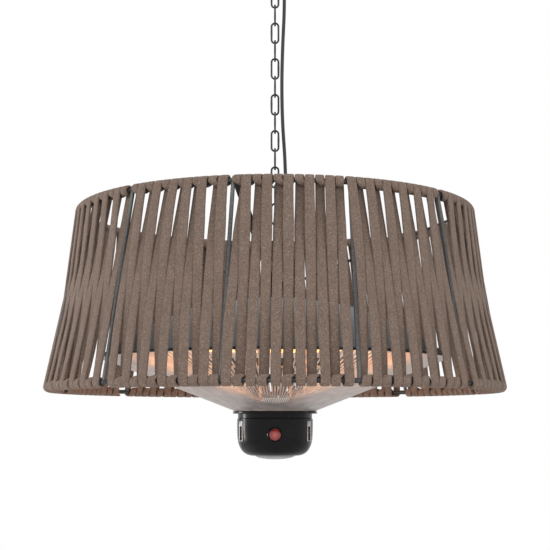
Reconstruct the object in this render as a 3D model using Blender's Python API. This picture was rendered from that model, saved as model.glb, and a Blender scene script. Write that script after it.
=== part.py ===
"""Hanging patio heater: a round infrared heater in a tape-wound lampshade, hung on a chain.

Metres, +Z up. The origin is on the flat top face of the ceiling plate, on the heater's axis,
and everything hangs below it. The front, with the round receiver lens, faces -Y.
Angles round the axis are in degrees from the front, positive towards +X.
"""

import math

import bmesh
import bpy
from mathutils import Matrix, Vector

# Fits
GAP = 0.0003
OVERRUN = 0.002
MERGE = 0.000001

# Ceiling fitting
PLATE_RADIUS = 0.045
PLATE_THICKNESS = 0.004
PLATE_EDGE = 0.001
SCREW_HOLE_RADIUS = 0.0025
SCREW_CIRCLE_RADIUS = 0.034
SCREW_HOLES = 3
HOOK_WIRE_RADIUS = 0.0025
HOOK_RING_RADIUS = 0.010
HOOK_NECK = 0.006
HOOK_STEM_RADIUS = 0.003
HOOK_STEM_DEPTH = 0.003
HOOK_COLLAR_RADIUS = 0.0065
HOOK_COLLAR_HEIGHT = 0.002

# Chain
LINKS = 15
LINK_WIRE_RADIUS = 0.0013
LINK_INNER_LENGTH = 0.0252
LINK_WIDTH = 0.012
LINK_END_SHARES = [(1, 0), (0.56, 1), (-0.56, 1), (-1, 0)]

# Mains cable, its glands and its clip
CABLE_RADIUS = 0.0023
GLAND_STEM_RADIUS = 0.0042
GLAND_FLANGE_RADIUS = 0.0075
GLAND_FLANGE_HEIGHT = 0.003
GLAND_LENGTH = 0.014
GLAND_TIP_RADIUS = 0.0045
GLAND_SHOULDER_SHARE = 0.85
CABLE_SEAT = 0.010
CEILING_GLAND_X = 0.016
CLIP_HEIGHT = 0.006
CLIP_DEPTH = 0.008
CLIP_WALL = 0.0012
CLIP_DROP = 0.0066
CABLE_OFFSET = 0.008

# Hanger: eye bolt, nuts and spacers down the axis
EYE_WIRE_RADIUS = 0.0025
EYE_RING_RADIUS = 0.010
EYE_COLLAR_RADIUS = 0.008
EYE_COLLAR_HEIGHT = 0.0042
SHANK_RADIUS = 0.004
SHANK_TAIL = 0.002
NUT_WIDTH = 0.013
NUT_HEIGHT = 0.008
SPACER_RADIUS = 0.009
UPPER_SPACER_LENGTH = 0.0206
LOWER_SPACER_LENGTH = 0.018

# Spider that carries the shade
ARMS = 4
ARM_WIDTH = 0.009
ARM_OFFSET_ANGLE = 1.6
ARM_THICKNESS = 0.0025
SPIDER_DISC_RADIUS = 0.022
SHADE_ABOVE_SPIDER = 0.0911

# Lampshade
SHADE_HEIGHT = 0.2365
TOP_RING_RADIUS = 0.2562
KNEE_RING_RADIUS = 0.2691
BOTTOM_RING_RADIUS = 0.2922
KNEE_HEIGHT = 0.122
RING_ROD_RADIUS = 0.003
KNEE_ROD_RADIUS = 0.002
STRUT_RADIUS = 0.0025
BAYS = 12
FIRST_STRUT_ANGLE = -11.4

# Woven tape wound on the rings
TAPE_THICKNESS = 0.003
TAPE_CLEARANCE = 0.0007
LEG_WIDTH = 0.0116
NARROW_LEG_WIDTH = 0.0108
WRAP_WIDTH = 0.0096
STRAND_PITCH = 4.9
FRONT_STRAND_PITCH = 5.2
STRANDS = 6
FRONT_STRANDS = 5

# Reflectors
REFLECTOR_RADIUS = 0.228
REFLECTOR_HEIGHT = 0.078
REFLECTOR_WALL = 0.0012
REFLECTOR_PROFILE_SHARES = [(0.20, 1.0), (0.455, 0.86), (0.60, 0.71), (0.75, 0.51), (1.0, 0.05), (1.0, 0.0)]
GLAND_RADIUS_ON_REFLECTOR = 0.034
INNER_REFLECTOR_INSET = 0.022
INNER_REFLECTOR_RADIUS = REFLECTOR_RADIUS - INNER_REFLECTOR_INSET
INNER_RIM_CLEARANCE = 0.0023
INNER_REFLECTOR_WALL = 0.0008
INNER_PROFILE_SHARES = [(0.31, 1.0), (0.50, 0.86), (0.75, 0.53), (0.97, 0.06), (1.0, 0.0)]

# Heating elements: ring-shaped quartz tubes, each open at a ceramic block
ELEMENT_TUBE_RADIUS = 0.005
OUTER_ELEMENT_RADIUS = 0.150
INNER_ELEMENT_RADIUS = 0.088
ELEMENT_BELOW_REFLECTOR = 0.016
CERAMIC_WIDTH = 0.020
CERAMIC_DEPTH = 0.014
CERAMIC_WALL = 0.004
OUTER_CERAMIC_ANGLE = 150.0
INNER_CERAMIC_ANGLE = 205.0
CRADLES = 3
CRADLE_WIDTH = 0.006
CRADLE_THICKNESS = 0.001

# Wire guard
GUARD_FOOT_RADIUS = 0.0535
GUARD_WIRE_RADIUS = 0.0009
GUARD_RING_ROD_RADIUS = 0.0014

# Posts and pod
POSTS = 4
POST_RADIUS = 0.003
POST_CIRCLE_RADIUS = 0.045
FIRST_POST_ANGLE = 26.0
FLANGE_RADIUS = 0.055
FLANGE_THICKNESS = 0.003
FLANGE_BELOW_RIM = 0.0675
NECK_RADIUS = 0.0485
NECK_HEIGHT = 0.0065
SPIGOT_DEPTH = 0.004
POD_RADIUS = 0.0495
POD_HEIGHT = 0.0475
POD_WALL = 0.002
POD_PROFILE_SHARES = [(1.0, 0.0), (1.0, 0.30), (0.985, 0.55), (0.94, 0.74), (0.85, 0.89), (0.74, 0.97), (0.64, 1.0)]
LENS_RADIUS = 0.026
LENS_DROP = 0.005
LENS_DOME_SHARES = [(0.8, 0.55), (0.45, 0.9)]
RECEIVER_RADIUS = 0.0075
BEZEL_WALL = 0.0022
RECEIVER_SHARE = 0.47
RECEIVER_PROUD = 0.0012
RECEIVER_DOME_SHARES = [(1.0, 0.0), (0.8, 0.6), (0.45, 1.0)]
SIDE_CLIP_ANGLE = 62.0
SIDE_CLIP_WIDTH = 0.009
SIDE_CLIP_HEIGHT = 0.026
SIDE_CLIP_THICKNESS = 0.0016
SIDE_CLIP_DEPTH = 0.0025
SIDE_CLIP_BELOW_TOP = 0.0028
BOARD_THICKNESS = 0.0016

# Facets round the spun and swept pieces
BIG_SEGMENTS = 36
HOOP_SEGMENTS = 40
POD_SEGMENTS = 24
SMALL_SEGMENTS = 12
HOOP_SIDES = 5
KNEE_SIDES = 4
WIRE_SIDES = 6
GUARD_SIDES = 4


def share_at(shares, out):
    """How far up a spun sheet's outline is at a share of its radius."""
    if out <= shares[0][0]:
        return shares[0][1]
    for (near, high), (far, low) in zip(shares, shares[1:]):
        if out <= far:
            return high + (low - high) * (out - near) / (far - near)
    return shares[-1][1]


# Heights down the axis, from the ceiling to the pod
PLATE_UNDERSIDE = -PLATE_THICKNESS
HOOK_RING_Z = PLATE_UNDERSIDE - HOOK_NECK - HOOK_WIRE_RADIUS - HOOK_RING_RADIUS
SWING_Z = HOOK_RING_Z - HOOK_RING_RADIUS
LINK_LENGTH = LINK_INNER_LENGTH + 2 * LINK_WIRE_RADIUS * 2
TOP_LINK_Z = SWING_Z + HOOK_WIRE_RADIUS + GAP + 2 * LINK_WIRE_RADIUS - LINK_LENGTH / 2
LINK_STEP = LINK_INNER_LENGTH - GAP
LAST_LINK_Z = TOP_LINK_Z - (LINKS - 1) * LINK_STEP
TILT_Z = LAST_LINK_Z - LINK_LENGTH / 2 + LINK_WIRE_RADIUS
EYE_RING_Z = TILT_Z + LINK_WIRE_RADIUS + GAP + EYE_WIRE_RADIUS - EYE_RING_RADIUS
EYE_COLLAR_Z = EYE_RING_Z - EYE_RING_RADIUS - EYE_COLLAR_HEIGHT
UPPER_NUT_Z = EYE_COLLAR_Z - GAP - NUT_HEIGHT
SPIDER_Z = UPPER_NUT_Z - GAP - ARM_THICKNESS
UPPER_SPACER_Z = SPIDER_Z - GAP - UPPER_SPACER_LENGTH
REFLECTOR_TOP_Z = UPPER_SPACER_Z - GAP
RIM_Z = REFLECTOR_TOP_Z - REFLECTOR_HEIGHT
LOWER_SPACER_Z = REFLECTOR_TOP_Z - REFLECTOR_WALL - GAP - LOWER_SPACER_LENGTH
INNER_TOP_Z = LOWER_SPACER_Z - GAP
DOME_SHARE = share_at(REFLECTOR_PROFILE_SHARES, INNER_REFLECTOR_RADIUS / REFLECTOR_RADIUS)
INNER_RIM_Z = RIM_Z + REFLECTOR_HEIGHT * DOME_SHARE - REFLECTOR_WALL - INNER_RIM_CLEARANCE
INNER_REFLECTOR_HEIGHT = INNER_TOP_Z - INNER_RIM_Z
LOWER_NUT_Z = INNER_TOP_Z - INNER_REFLECTOR_WALL - GAP - NUT_HEIGHT
SHANK_END_Z = LOWER_NUT_Z - SHANK_TAIL
FLANGE_Z = RIM_Z - FLANGE_BELOW_RIM
POD_TOP_Z = FLANGE_Z - FLANGE_THICKNESS - NECK_HEIGHT
POD_BOTTOM_Z = POD_TOP_Z - POD_HEIGHT
SHADE_TOP_Z = SPIDER_Z + ARM_THICKNESS + SHADE_ABOVE_SPIDER
WRAP_REACH = RING_ROD_RADIUS + TAPE_CLEARANCE + TAPE_THICKNESS
TOP_RING_Z = SHADE_TOP_Z - WRAP_REACH
SHADE_BOTTOM_Z = SHADE_TOP_Z - SHADE_HEIGHT
KNEE_Z = SHADE_BOTTOM_Z + KNEE_HEIGHT
BOTTOM_RING_Z = SHADE_BOTTOM_Z + WRAP_REACH

# The two free stretches of the cable: how far along and how far across at each point of the route
CLIP_X = (LINK_WIDTH / 2 - LINK_WIRE_RADIUS) + CABLE_OFFSET
CLIP_TOP_Z = SWING_Z - CLIP_DROP + CLIP_HEIGHT / 2
CLIP_BOTTOM_Z = CLIP_TOP_Z - CLIP_HEIGHT
CLIP_MIDDLE_Z = (CLIP_TOP_Z + CLIP_BOTTOM_Z) / 2
CABLE_TOP_SHARES = [(0, 0), (0.32, 0), (0.44, 0.12), (0.58, 0.45), (0.73, 0.85), (0.85, 1), (1, 1)]
CABLE_DROP_SHARES = [(0, 0), (0.021, 0), (0.075, -0.03), (0.173, -0.14), (0.27, -0.21), (0.356, -0.21),
                     (0.441, -0.14), (0.539, 0.02), (0.624, 0.11), (0.709, 0.22), (0.795, 0.43), (0.863, 0.68),
                     (0.912, 0.89), (0.951, 0.99), (0.972, 1), (1, 1)]
CABLE_POINT_SPACING = 0.0125


def clear_scene():
    for item in list(bpy.data.objects):
        bpy.data.objects.remove(item, do_unlink=True)


def finish(name, colour, roughness, metallic):
    """A plain finish: base colour, roughness and metal share."""
    material = bpy.data.materials.new(name)
    material.use_nodes = True
    shader = material.node_tree.nodes["Principled BSDF"]
    shader.inputs["Base Color"].default_value = (*colour, 1.0)
    shader.inputs["Roughness"].default_value = roughness
    shader.inputs["Metallic"].default_value = metallic
    material.diffuse_color = (*colour, 1.0)
    return material


def at(angle, radius, z):
    """The point at an angle from the front, a distance from the axis and a height."""
    turn = math.radians(angle)
    return Vector((radius * math.sin(turn), -radius * math.cos(turn), z))


def tangent(angle):
    turn = math.radians(angle)
    return Vector((math.cos(turn), math.sin(turn), 0))


def add_object(name, mesh, material, crease=35):
    item = bpy.data.objects.new(name, mesh)
    bpy.context.collection.objects.link(item)
    mesh.materials.append(material)
    mesh.shade_smooth()
    mesh.set_sharp_from_angle(angle=math.radians(crease))
    return item


def mesh_of(bm, name):
    bmesh.ops.recalc_face_normals(bm, faces=bm.faces)
    mesh = bpy.data.meshes.new(name)
    bm.to_mesh(mesh)
    bm.free()
    return mesh


def make_guide(item):
    """Marks a body that only shapes another one."""
    item.hide_render = True
    item.display_type = "WIRE"


def join_with(item, other, operation):
    """Cuts other out of item, or welds it on."""
    modifier = item.modifiers.new(operation.title(), "BOOLEAN")
    modifier.operation = operation
    modifier.solver = "EXACT"
    modifier.object = other
    make_guide(other)


def lathe_mesh(name, profile, segments, closed=True):
    """Spins a profile of (radius, height) points about the axis."""
    bm = bmesh.new()
    points = [bm.verts.new((radius, 0, z)) for radius, z in profile]
    edges = [bm.edges.new(pair) for pair in zip(points, points[1:])]
    if closed:
        edges.append(bm.edges.new((points[-1], points[0])))
    bmesh.ops.spin(bm, geom=points + edges, cent=(0, 0, 0), axis=(0, 0, 1), angle=math.tau, steps=segments)
    bmesh.ops.remove_doubles(bm, verts=bm.verts, dist=MERGE)
    return mesh_of(bm, name)


def lathe(name, profile, segments, material, closed=True):
    return add_object(name, lathe_mesh(name, profile, segments, closed), material)


def tube_profile(inner, outer, low, high):
    return [(inner, low), (outer, low), (outer, high), (inner, high)]


def circle_profile(radius, z, rod_radius, sides):
    steps = [math.tau * (index + 0.5) / sides for index in range(sides)]
    return [(radius + rod_radius * math.cos(step), z + rod_radius * math.sin(step)) for step in steps]


def sweep_mesh(name, stations, closed=False):
    """A body through a row of outlines, each a list of corner points in the same order."""
    bm = bmesh.new()
    rings = [[bm.verts.new(point) for point in station] for station in stations]
    pairs = list(zip(rings, rings[1:]))
    if closed:
        pairs.append((rings[-1], rings[0]))
    for ring, following in pairs:
        for index in range(len(ring)):
            after = (index + 1) % len(ring)
            bm.faces.new((ring[index], ring[after], following[after], following[index]))
    if not closed:
        bm.faces.new(list(reversed(rings[0])))
        bm.faces.new(rings[-1])
    return mesh_of(bm, name)


def rod_stations(points, radius, sides, across):
    """Round outlines along a bent rod, each square to the run; across is any way not along the rod."""
    stations = []
    for index, point in enumerate(points):
        before = points[max(index - 1, 0)]
        after = points[min(index + 1, len(points) - 1)]
        along = (after - before).normalized()
        side = (across - along * across.dot(along)).normalized()
        up = along.cross(side)
        steps = [math.tau * step / sides for step in range(sides)]
        stations.append([point + side * radius * math.cos(step) + up * radius * math.sin(step) for step in steps])
    return stations


def merged(meshes, name):
    """One mesh that holds several separate bodies, for welding to another in one go."""
    bm = bmesh.new()
    for mesh in meshes:
        bm.from_mesh(mesh)
        bpy.data.meshes.remove(mesh)
    return mesh_of(bm, name)


def cylinder_guide(name, radius, centre, low, high, material, sides=SMALL_SEGMENTS):
    bm = bmesh.new()
    place = Matrix.Translation(Vector((centre[0], centre[1], (low + high) / 2)))
    bmesh.ops.create_cone(bm, cap_ends=True, segments=sides, radius1=radius, radius2=radius, depth=high - low,
                          matrix=place)
    item = add_object(name, mesh_of(bm, name), material)
    make_guide(item)
    return item


def smooth_route(points, spacing):
    """Points read at an even spacing from the smooth curve through a cable's own points."""
    ends = [points[0] * 2 - points[1]] + points + [points[-1] * 2 - points[-2]]
    fine = []
    steps = 12
    for index in range(1, len(ends) - 2):
        a, b, c, d = ends[index - 1:index + 3]
        for step in range(steps):
            t = step / steps
            fine.append((b * 2 + (c - a) * t + (a * 2 - b * 5 + c * 4 - d) * t ** 2
                         + (b * 3 - a - c * 3 + d) * t ** 3) / 2)
    fine.append(points[-1])
    lengths = [0.0]
    for before, after in zip(fine, fine[1:]):
        lengths.append(lengths[-1] + (after - before).length)
    count = max(3, math.ceil(lengths[-1] / spacing))
    route = []
    for number in range(count + 1):
        wanted = lengths[-1] * number / count
        index = min(max(i for i, length in enumerate(lengths) if length <= wanted), len(fine) - 2)
        share = (wanted - lengths[index]) / (lengths[index + 1] - lengths[index])
        route.append(fine[index].lerp(fine[index + 1], min(share, 1.0)))
    return route, lengths[-1]


def curve_tube(name, points, radius, resolution, material, cyclic=False):
    curve = bpy.data.curves.new(name, "CURVE")
    curve.dimensions = "3D"
    curve.bevel_depth = radius
    curve.bevel_resolution = resolution
    curve.use_fill_caps = not cyclic
    spline = curve.splines.new("POLY")
    spline.points.add(len(points) - 1)
    for target, point in zip(spline.points, points):
        target.co = (*point, 1.0)
    spline.use_cyclic_u = cyclic
    curve.materials.append(material)
    item = bpy.data.objects.new(name, curve)
    bpy.context.collection.objects.link(item)
    return item


def ring_eye_mesh(name, ring_radius, wire_radius, centre_z):
    """A closed ring of wire that stands in the YZ plane."""
    bm = bmesh.new()
    source = lathe_mesh(name, circle_profile(ring_radius, 0, wire_radius, WIRE_SIDES), 14)
    bm.from_mesh(source)
    bpy.data.meshes.remove(source)
    bmesh.ops.transform(bm, verts=bm.verts, matrix=Matrix.Translation((0, 0, centre_z))
                        @ Matrix.Rotation(math.radians(90), 4, "Y"))
    return mesh_of(bm, name)


def ceiling_plate(steel):
    edge = PLATE_RADIUS - PLATE_EDGE
    profile = [(0, PLATE_UNDERSIDE), (edge, PLATE_UNDERSIDE), (PLATE_RADIUS, PLATE_UNDERSIDE + PLATE_EDGE),
               (PLATE_RADIUS, 0), (0, 0)]
    plate = lathe("ceiling_plate", profile, POD_SEGMENTS, steel, closed=False)
    top = PLATE_UNDERSIDE + HOOK_STEM_DEPTH + GAP
    join_with(plate, cylinder_guide("stem_bore", HOOK_STEM_RADIUS + GAP, (0, 0), PLATE_UNDERSIDE - OVERRUN, top, steel),
              "DIFFERENCE")
    join_with(plate, cylinder_guide("gland_bore", GLAND_STEM_RADIUS + GAP, (CEILING_GLAND_X, 0),
                                    PLATE_UNDERSIDE - OVERRUN, OVERRUN, steel), "DIFFERENCE")
    for number in range(SCREW_HOLES):
        centre = at(180 + 360 * number / SCREW_HOLES, SCREW_CIRCLE_RADIUS, 0)
        hole = cylinder_guide(f"screw_hole_{number + 1}", SCREW_HOLE_RADIUS, centre, PLATE_UNDERSIDE - OVERRUN,
                              OVERRUN, steel, 8)
        join_with(plate, hole, "DIFFERENCE")


def ceiling_hook(steel):
    """A closed eye with a collar, whose stem screws into the plate."""
    hook = add_object("ceiling_hook", ring_eye_mesh("ceiling_hook", HOOK_RING_RADIUS, HOOK_WIRE_RADIUS, HOOK_RING_Z),
                      steel)
    collar_top = PLATE_UNDERSIDE - GAP
    collar_low = collar_top - HOOK_COLLAR_HEIGHT
    profile = [(0, HOOK_RING_Z + HOOK_RING_RADIUS), (HOOK_STEM_RADIUS, HOOK_RING_Z + HOOK_RING_RADIUS),
               (HOOK_STEM_RADIUS, collar_low), (HOOK_COLLAR_RADIUS, collar_low), (HOOK_COLLAR_RADIUS, collar_top),
               (HOOK_STEM_RADIUS, collar_top), (HOOK_STEM_RADIUS, PLATE_UNDERSIDE + HOOK_STEM_DEPTH),
               (0, PLATE_UNDERSIDE + HOOK_STEM_DEPTH)]
    join_with(hook, lathe("hook_stem", profile, SMALL_SEGMENTS, steel, closed=False), "UNION")


def gland_profile(face_z, way, stem_length):
    """A cable gland: stem through the wall, flange on its face, and a tapered grip; way is the side it points to."""
    bore = CABLE_RADIUS + GAP
    marks = [(bore, -stem_length), (GLAND_STEM_RADIUS, -stem_length), (GLAND_STEM_RADIUS, GAP),
             (GLAND_FLANGE_RADIUS, GAP), (GLAND_FLANGE_RADIUS, GLAND_FLANGE_HEIGHT),
             (GLAND_FLANGE_RADIUS * GLAND_SHOULDER_SHARE, GLAND_FLANGE_HEIGHT), (GLAND_TIP_RADIUS, GLAND_LENGTH),
             (bore, GLAND_LENGTH)]
    return [(radius, face_z + way * height) for radius, height in marks]


def ceiling_gland(plastic):
    gland = lathe("ceiling_gland", gland_profile(PLATE_UNDERSIDE, -1, PLATE_THICKNESS - GAP), SMALL_SEGMENTS,
                  plastic)
    gland.location = (CEILING_GLAND_X, 0, 0)


def heater_gland(plastic):
    wall = REFLECTOR_WALL + GAP
    gland = lathe("heater_gland", gland_profile(REFLECTOR_TOP_Z, 1, wall), SMALL_SEGMENTS, plastic)
    gland.location = at(gland_angle(), GLAND_RADIUS_ON_REFLECTOR, 0)


def gland_angle():
    """The heater's gland stands midway between two of the struts that have an arm."""
    return FIRST_STRUT_ANGLE + 360 * 1.5 / ARMS


def arm_angle(number):
    """Each arm reaches the top ring just beside a strut."""
    return FIRST_STRUT_ANGLE + ARM_OFFSET_ANGLE + 360 * number / ARMS


def link_loop():
    """The middle line of one link, in the XZ plane."""
    bend = LINK_WIDTH / 2 - LINK_WIRE_RADIUS
    straight = LINK_LENGTH / 2 - LINK_WIDTH / 2
    points = []
    for side in (1, -1):
        points += [Vector((side * bend * across, 0, side * (straight + bend * up))) for across, up in LINK_END_SHARES]
    return points


def chain(steel):
    loop = link_loop()
    first = None
    for number in range(LINKS):
        name = f"chain_link_{number + 1:02d}"
        if first is None:
            link = first = curve_tube(name, loop, LINK_WIRE_RADIUS, 1, steel, cyclic=True)
        else:
            link = bpy.data.objects.new(name, first.data)
            bpy.context.collection.objects.link(link)
        link.location = (0, 0, TOP_LINK_Z - number * LINK_STEP)
        link.rotation_euler = (0, 0, math.radians(90 * (number % 2)))


def cable_clip(plastic):
    """A block that snaps over the side of the top link and holds the cable beside it."""
    link_x = LINK_WIDTH / 2 - LINK_WIRE_RADIUS
    left = link_x - LINK_WIRE_RADIUS - GAP - CLIP_WALL
    right = CLIP_X + CABLE_RADIUS + GAP + CLIP_WALL
    bm = bmesh.new()
    bmesh.ops.create_cube(bm, size=1.0)
    size = Matrix.Diagonal((right - left, CLIP_DEPTH, CLIP_HEIGHT, 1))
    bmesh.ops.transform(bm, verts=bm.verts, matrix=Matrix.Translation(((left + right) / 2, 0,
                                                                       CLIP_TOP_Z - CLIP_HEIGHT / 2)) @ size)
    clip = add_object("cable_clip", mesh_of(bm, "cable_clip"), plastic)
    low, high = CLIP_BOTTOM_Z - OVERRUN, CLIP_TOP_Z + OVERRUN
    join_with(clip, cylinder_guide("clip_link_bore", LINK_WIRE_RADIUS + GAP, (link_x, 0), low, high, plastic),
              "DIFFERENCE")
    join_with(clip, cylinder_guide("clip_cable_bore", CABLE_RADIUS + GAP, (CLIP_X, 0), low, high, plastic),
              "DIFFERENCE")


def cables(rubber):
    gland = at(gland_angle(), GLAND_RADIUS_ON_REFLECTOR, REFLECTOR_TOP_Z + GLAND_LENGTH - CABLE_SEAT)
    ends = {"cable_top": (Vector((CEILING_GLAND_X, 0, PLATE_UNDERSIDE - GLAND_LENGTH + CABLE_SEAT)),
                          Vector((CLIP_X, 0, CLIP_MIDDLE_Z + GAP / 2)), CABLE_TOP_SHARES),
            "cable_drop": (Vector((CLIP_X, 0, CLIP_MIDDLE_Z - GAP / 2)), gland, CABLE_DROP_SHARES)}
    for name, (start, end, shares) in ends.items():
        points = [Vector((start.x + (end.x - start.x) * across, start.y + (end.y - start.y) * across,
                          start.z + (end.z - start.z) * along)) for along, across in shares]
        route, length = smooth_route(points, CABLE_POINT_SPACING)
        curve_tube(name, route, CABLE_RADIUS, 2, rubber)
        print(f"{name} is {length * 1000:.0f} mm long")


def eye_bolt(steel):
    bolt = add_object("eye_bolt", ring_eye_mesh("eye_bolt", EYE_RING_RADIUS, EYE_WIRE_RADIUS, EYE_RING_Z), steel)
    collar_top = EYE_COLLAR_Z + EYE_COLLAR_HEIGHT
    profile = [(0, SHANK_END_Z), (SHANK_RADIUS, SHANK_END_Z), (SHANK_RADIUS, EYE_COLLAR_Z),
               (EYE_COLLAR_RADIUS, EYE_COLLAR_Z), (EYE_COLLAR_RADIUS, collar_top), (0, collar_top)]
    join_with(bolt, lathe("eye_shank", profile, SMALL_SEGMENTS, steel, closed=False), "UNION")


def hex_nut(name, low, steel):
    """Six flats with a round bore for the shank."""
    corner = NUT_WIDTH / 2 / math.cos(math.radians(30))
    nut = lathe(name, [(0, low), (corner, low), (corner, low + NUT_HEIGHT), (0, low + NUT_HEIGHT)], 6, steel,
                closed=False)
    join_with(nut, cylinder_guide(f"{name}_bore", SHANK_RADIUS + GAP, (0, 0), low - OVERRUN,
                                  low + NUT_HEIGHT + OVERRUN, steel), "DIFFERENCE")


def spacers(steel):
    bore = SHANK_RADIUS + GAP
    lathe("spacer_upper", tube_profile(bore, SPACER_RADIUS, UPPER_SPACER_Z, UPPER_SPACER_Z + UPPER_SPACER_LENGTH),
          SMALL_SEGMENTS, steel)
    lathe("spacer_lower", tube_profile(bore, SPACER_RADIUS, LOWER_SPACER_Z, LOWER_SPACER_Z + LOWER_SPACER_LENGTH),
          SMALL_SEGMENTS, steel)


def hanger_spider(steel):
    """A washer with flat arms that rise to the top ring; each arm's end is cut round to seat on the rod."""
    bore = SHANK_RADIUS + GAP
    spider = lathe("hanger_spider", tube_profile(bore, SPIDER_DISC_RADIUS, SPIDER_Z, SPIDER_Z + ARM_THICKNESS), 24,
                   steel)
    inner = SPIDER_DISC_RADIUS - 2 * ARM_THICKNESS
    rise = Vector((TOP_RING_RADIUS - inner, TOP_RING_Z - SPIDER_Z - ARM_THICKNESS / 2))
    lift = Vector((-rise.y, rise.x)).normalized() * ARM_THICKNESS / 2
    low_z = SPIDER_Z + ARM_THICKNESS / 2
    bars = []
    for number in range(ARMS):
        angle = arm_angle(number)
        stations = []
        for radius, z in ((inner, low_z), (TOP_RING_RADIUS, TOP_RING_Z)):
            side = tangent(angle) * ARM_WIDTH / 2
            over = at(angle, radius + lift.x, z + lift.y)
            under = at(angle, radius - lift.x, z - lift.y)
            stations.append([over - side, over + side, under + side, under - side])
        bars.append(sweep_mesh(f"arm_{number + 1}", stations))
    join_with(spider, add_object("spider_arms", merged(bars, "spider_arms"), steel), "UNION")
    seat_radius = RING_ROD_RADIUS + TAPE_CLEARANCE
    seat = lathe("ring_seat", circle_profile(hoop_radius(TOP_RING_RADIUS), TOP_RING_Z, seat_radius, WIRE_SIDES),
                 HOOP_SEGMENTS, steel)
    join_with(spider, seat, "DIFFERENCE")


def wall_line(ring):
    """The way down the shade's wall at a ring, and the way out of it, as (radius, height) vectors."""
    top = Vector((TOP_RING_RADIUS, TOP_RING_Z))
    knee = Vector((KNEE_RING_RADIUS, KNEE_Z))
    bottom = Vector((BOTTOM_RING_RADIUS, BOTTOM_RING_Z))
    down = {"top": knee - top, "bottom": bottom - knee, "knee": bottom - top}[ring].normalized()
    return down, Vector((-down.y, down.x))


def hoop_radius(radius):
    """The corner radius of a faceted hoop whose flats and corners lie evenly about the true circle."""
    return radius * 2 / (1 + math.cos(math.pi / HOOP_SEGMENTS))


def shade_frame(steel):
    """Three hoops and twelve kinked struts, welded."""
    hoops = [lathe_mesh("hoop", circle_profile(hoop_radius(radius), z, rod, sides), HOOP_SEGMENTS)
             for radius, z, rod, sides in ((TOP_RING_RADIUS, TOP_RING_Z, RING_ROD_RADIUS, HOOP_SIDES),
                                           (KNEE_RING_RADIUS, KNEE_Z, KNEE_ROD_RADIUS, KNEE_SIDES),
                                           (BOTTOM_RING_RADIUS, BOTTOM_RING_Z, RING_ROD_RADIUS, HOOP_SIDES))]
    frame = add_object("shade_frame", merged(hoops, "shade_frame"), steel)
    rods = []
    for number in range(BAYS):
        angle = FIRST_STRUT_ANGLE + 360 * number / BAYS
        points = [at(angle, TOP_RING_RADIUS, TOP_RING_Z), at(angle, KNEE_RING_RADIUS, KNEE_Z),
                  at(angle, BOTTOM_RING_RADIUS, BOTTOM_RING_Z)]
        rods.append(sweep_mesh("strut", rod_stations(points, STRUT_RADIUS, HOOP_SIDES, tangent(angle))))
    join_with(frame, add_object("struts", merged(rods, "struts"), steel), "UNION")


class Tape:
    """One length of tape: a row of places, each with its angle, its point on the wall line and its width."""

    def __init__(self, start, pitch, strands):
        self.start = start
        self.pitch = pitch
        self.strands = strands
        self.places = []

    def corner(self, ring, out, down, turn, width):
        """A corner of the square wrap round a ring: out is 1 in front, down is 1 below."""
        along, outward = wall_line(ring)
        radius, z = (TOP_RING_RADIUS, TOP_RING_Z) if ring == "top" else (BOTTOM_RING_RADIUS, BOTTOM_RING_Z)
        reach = RING_ROD_RADIUS + TAPE_CLEARANCE + TAPE_THICKNESS / 2
        away = outward * out + along * down
        middle = Vector((radius, z)) + away * reach
        self.places.append((ring, out, down, self.start + turn * self.pitch, middle, away * TAPE_THICKNESS / 2, width))

    def leg(self, out, turn):
        """Where a strand passes the middle hoop, in front of it or behind it."""
        away = wall_line("knee")[1] * out
        middle = Vector((KNEE_RING_RADIUS, KNEE_Z)) + away * (KNEE_ROD_RADIUS + TAPE_CLEARANCE + TAPE_THICKNESS / 2)
        self.places.append(("knee", out, 0, self.start + turn * self.pitch, middle, away * TAPE_THICKNESS / 2,
                            LEG_WIDTH))

    def wind(self):
        """Front strand down, once and a half round the bottom ring, back strand up, once and a half round the top."""
        self.corner("top", -1, -1, 0.25, WRAP_WIDTH)
        for strand in range(self.strands):
            self.corner("top", 1, -1, strand, LEG_WIDTH)
            self.leg(1, strand)
            self.corner("bottom", 1, 1, strand, LEG_WIDTH)
            self.corner("bottom", -1, 1, strand + 0.25, LEG_WIDTH)
            self.corner("bottom", -1, -1, strand + 0.25, LEG_WIDTH)
            if strand == self.strands - 1:
                break
            self.corner("bottom", 1, -1, strand + 0.5, LEG_WIDTH)
            self.corner("bottom", 1, 1, strand + 0.5, LEG_WIDTH)
            self.corner("bottom", -1, 1, strand + 0.75, LEG_WIDTH)
            self.leg(-1, strand + 0.75)
            self.corner("top", -1, -1, strand + 0.75, NARROW_LEG_WIDTH)
            self.corner("top", 1, -1, strand + 0.5, WRAP_WIDTH)
            self.corner("top", 1, 1, strand + 0.5, WRAP_WIDTH)
            self.corner("top", -1, 1, strand + 1.25, WRAP_WIDTH)
            self.corner("top", -1, -1, strand + 1.25, WRAP_WIDTH)

    def mesh(self, name):
        stations = []
        for ring, out, down, angle, middle, half, width in self.places:
            side = tangent(angle) * width / 2
            far = at(angle, middle.x + half.x, middle.y + half.y)
            near = at(angle, middle.x - half.x, middle.y - half.y)
            stations.append([far - side, far + side, near + side, near - side])
        return sweep_mesh(name, stations)

    def least_gap(self):
        """The least sideways gap between two passes at the same corner of a ring or side of the middle hoop."""
        least = math.inf
        for index, (ring, out, down, angle, middle, half, width) in enumerate(self.places):
            for other in self.places[index + 1:]:
                if other[:3] == (ring, out, down):
                    between = math.radians(abs(other[3] - angle)) * (middle.x - abs(half.x))
                    least = min(least, between - (width + other[6]) / 2)
        return least


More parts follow.
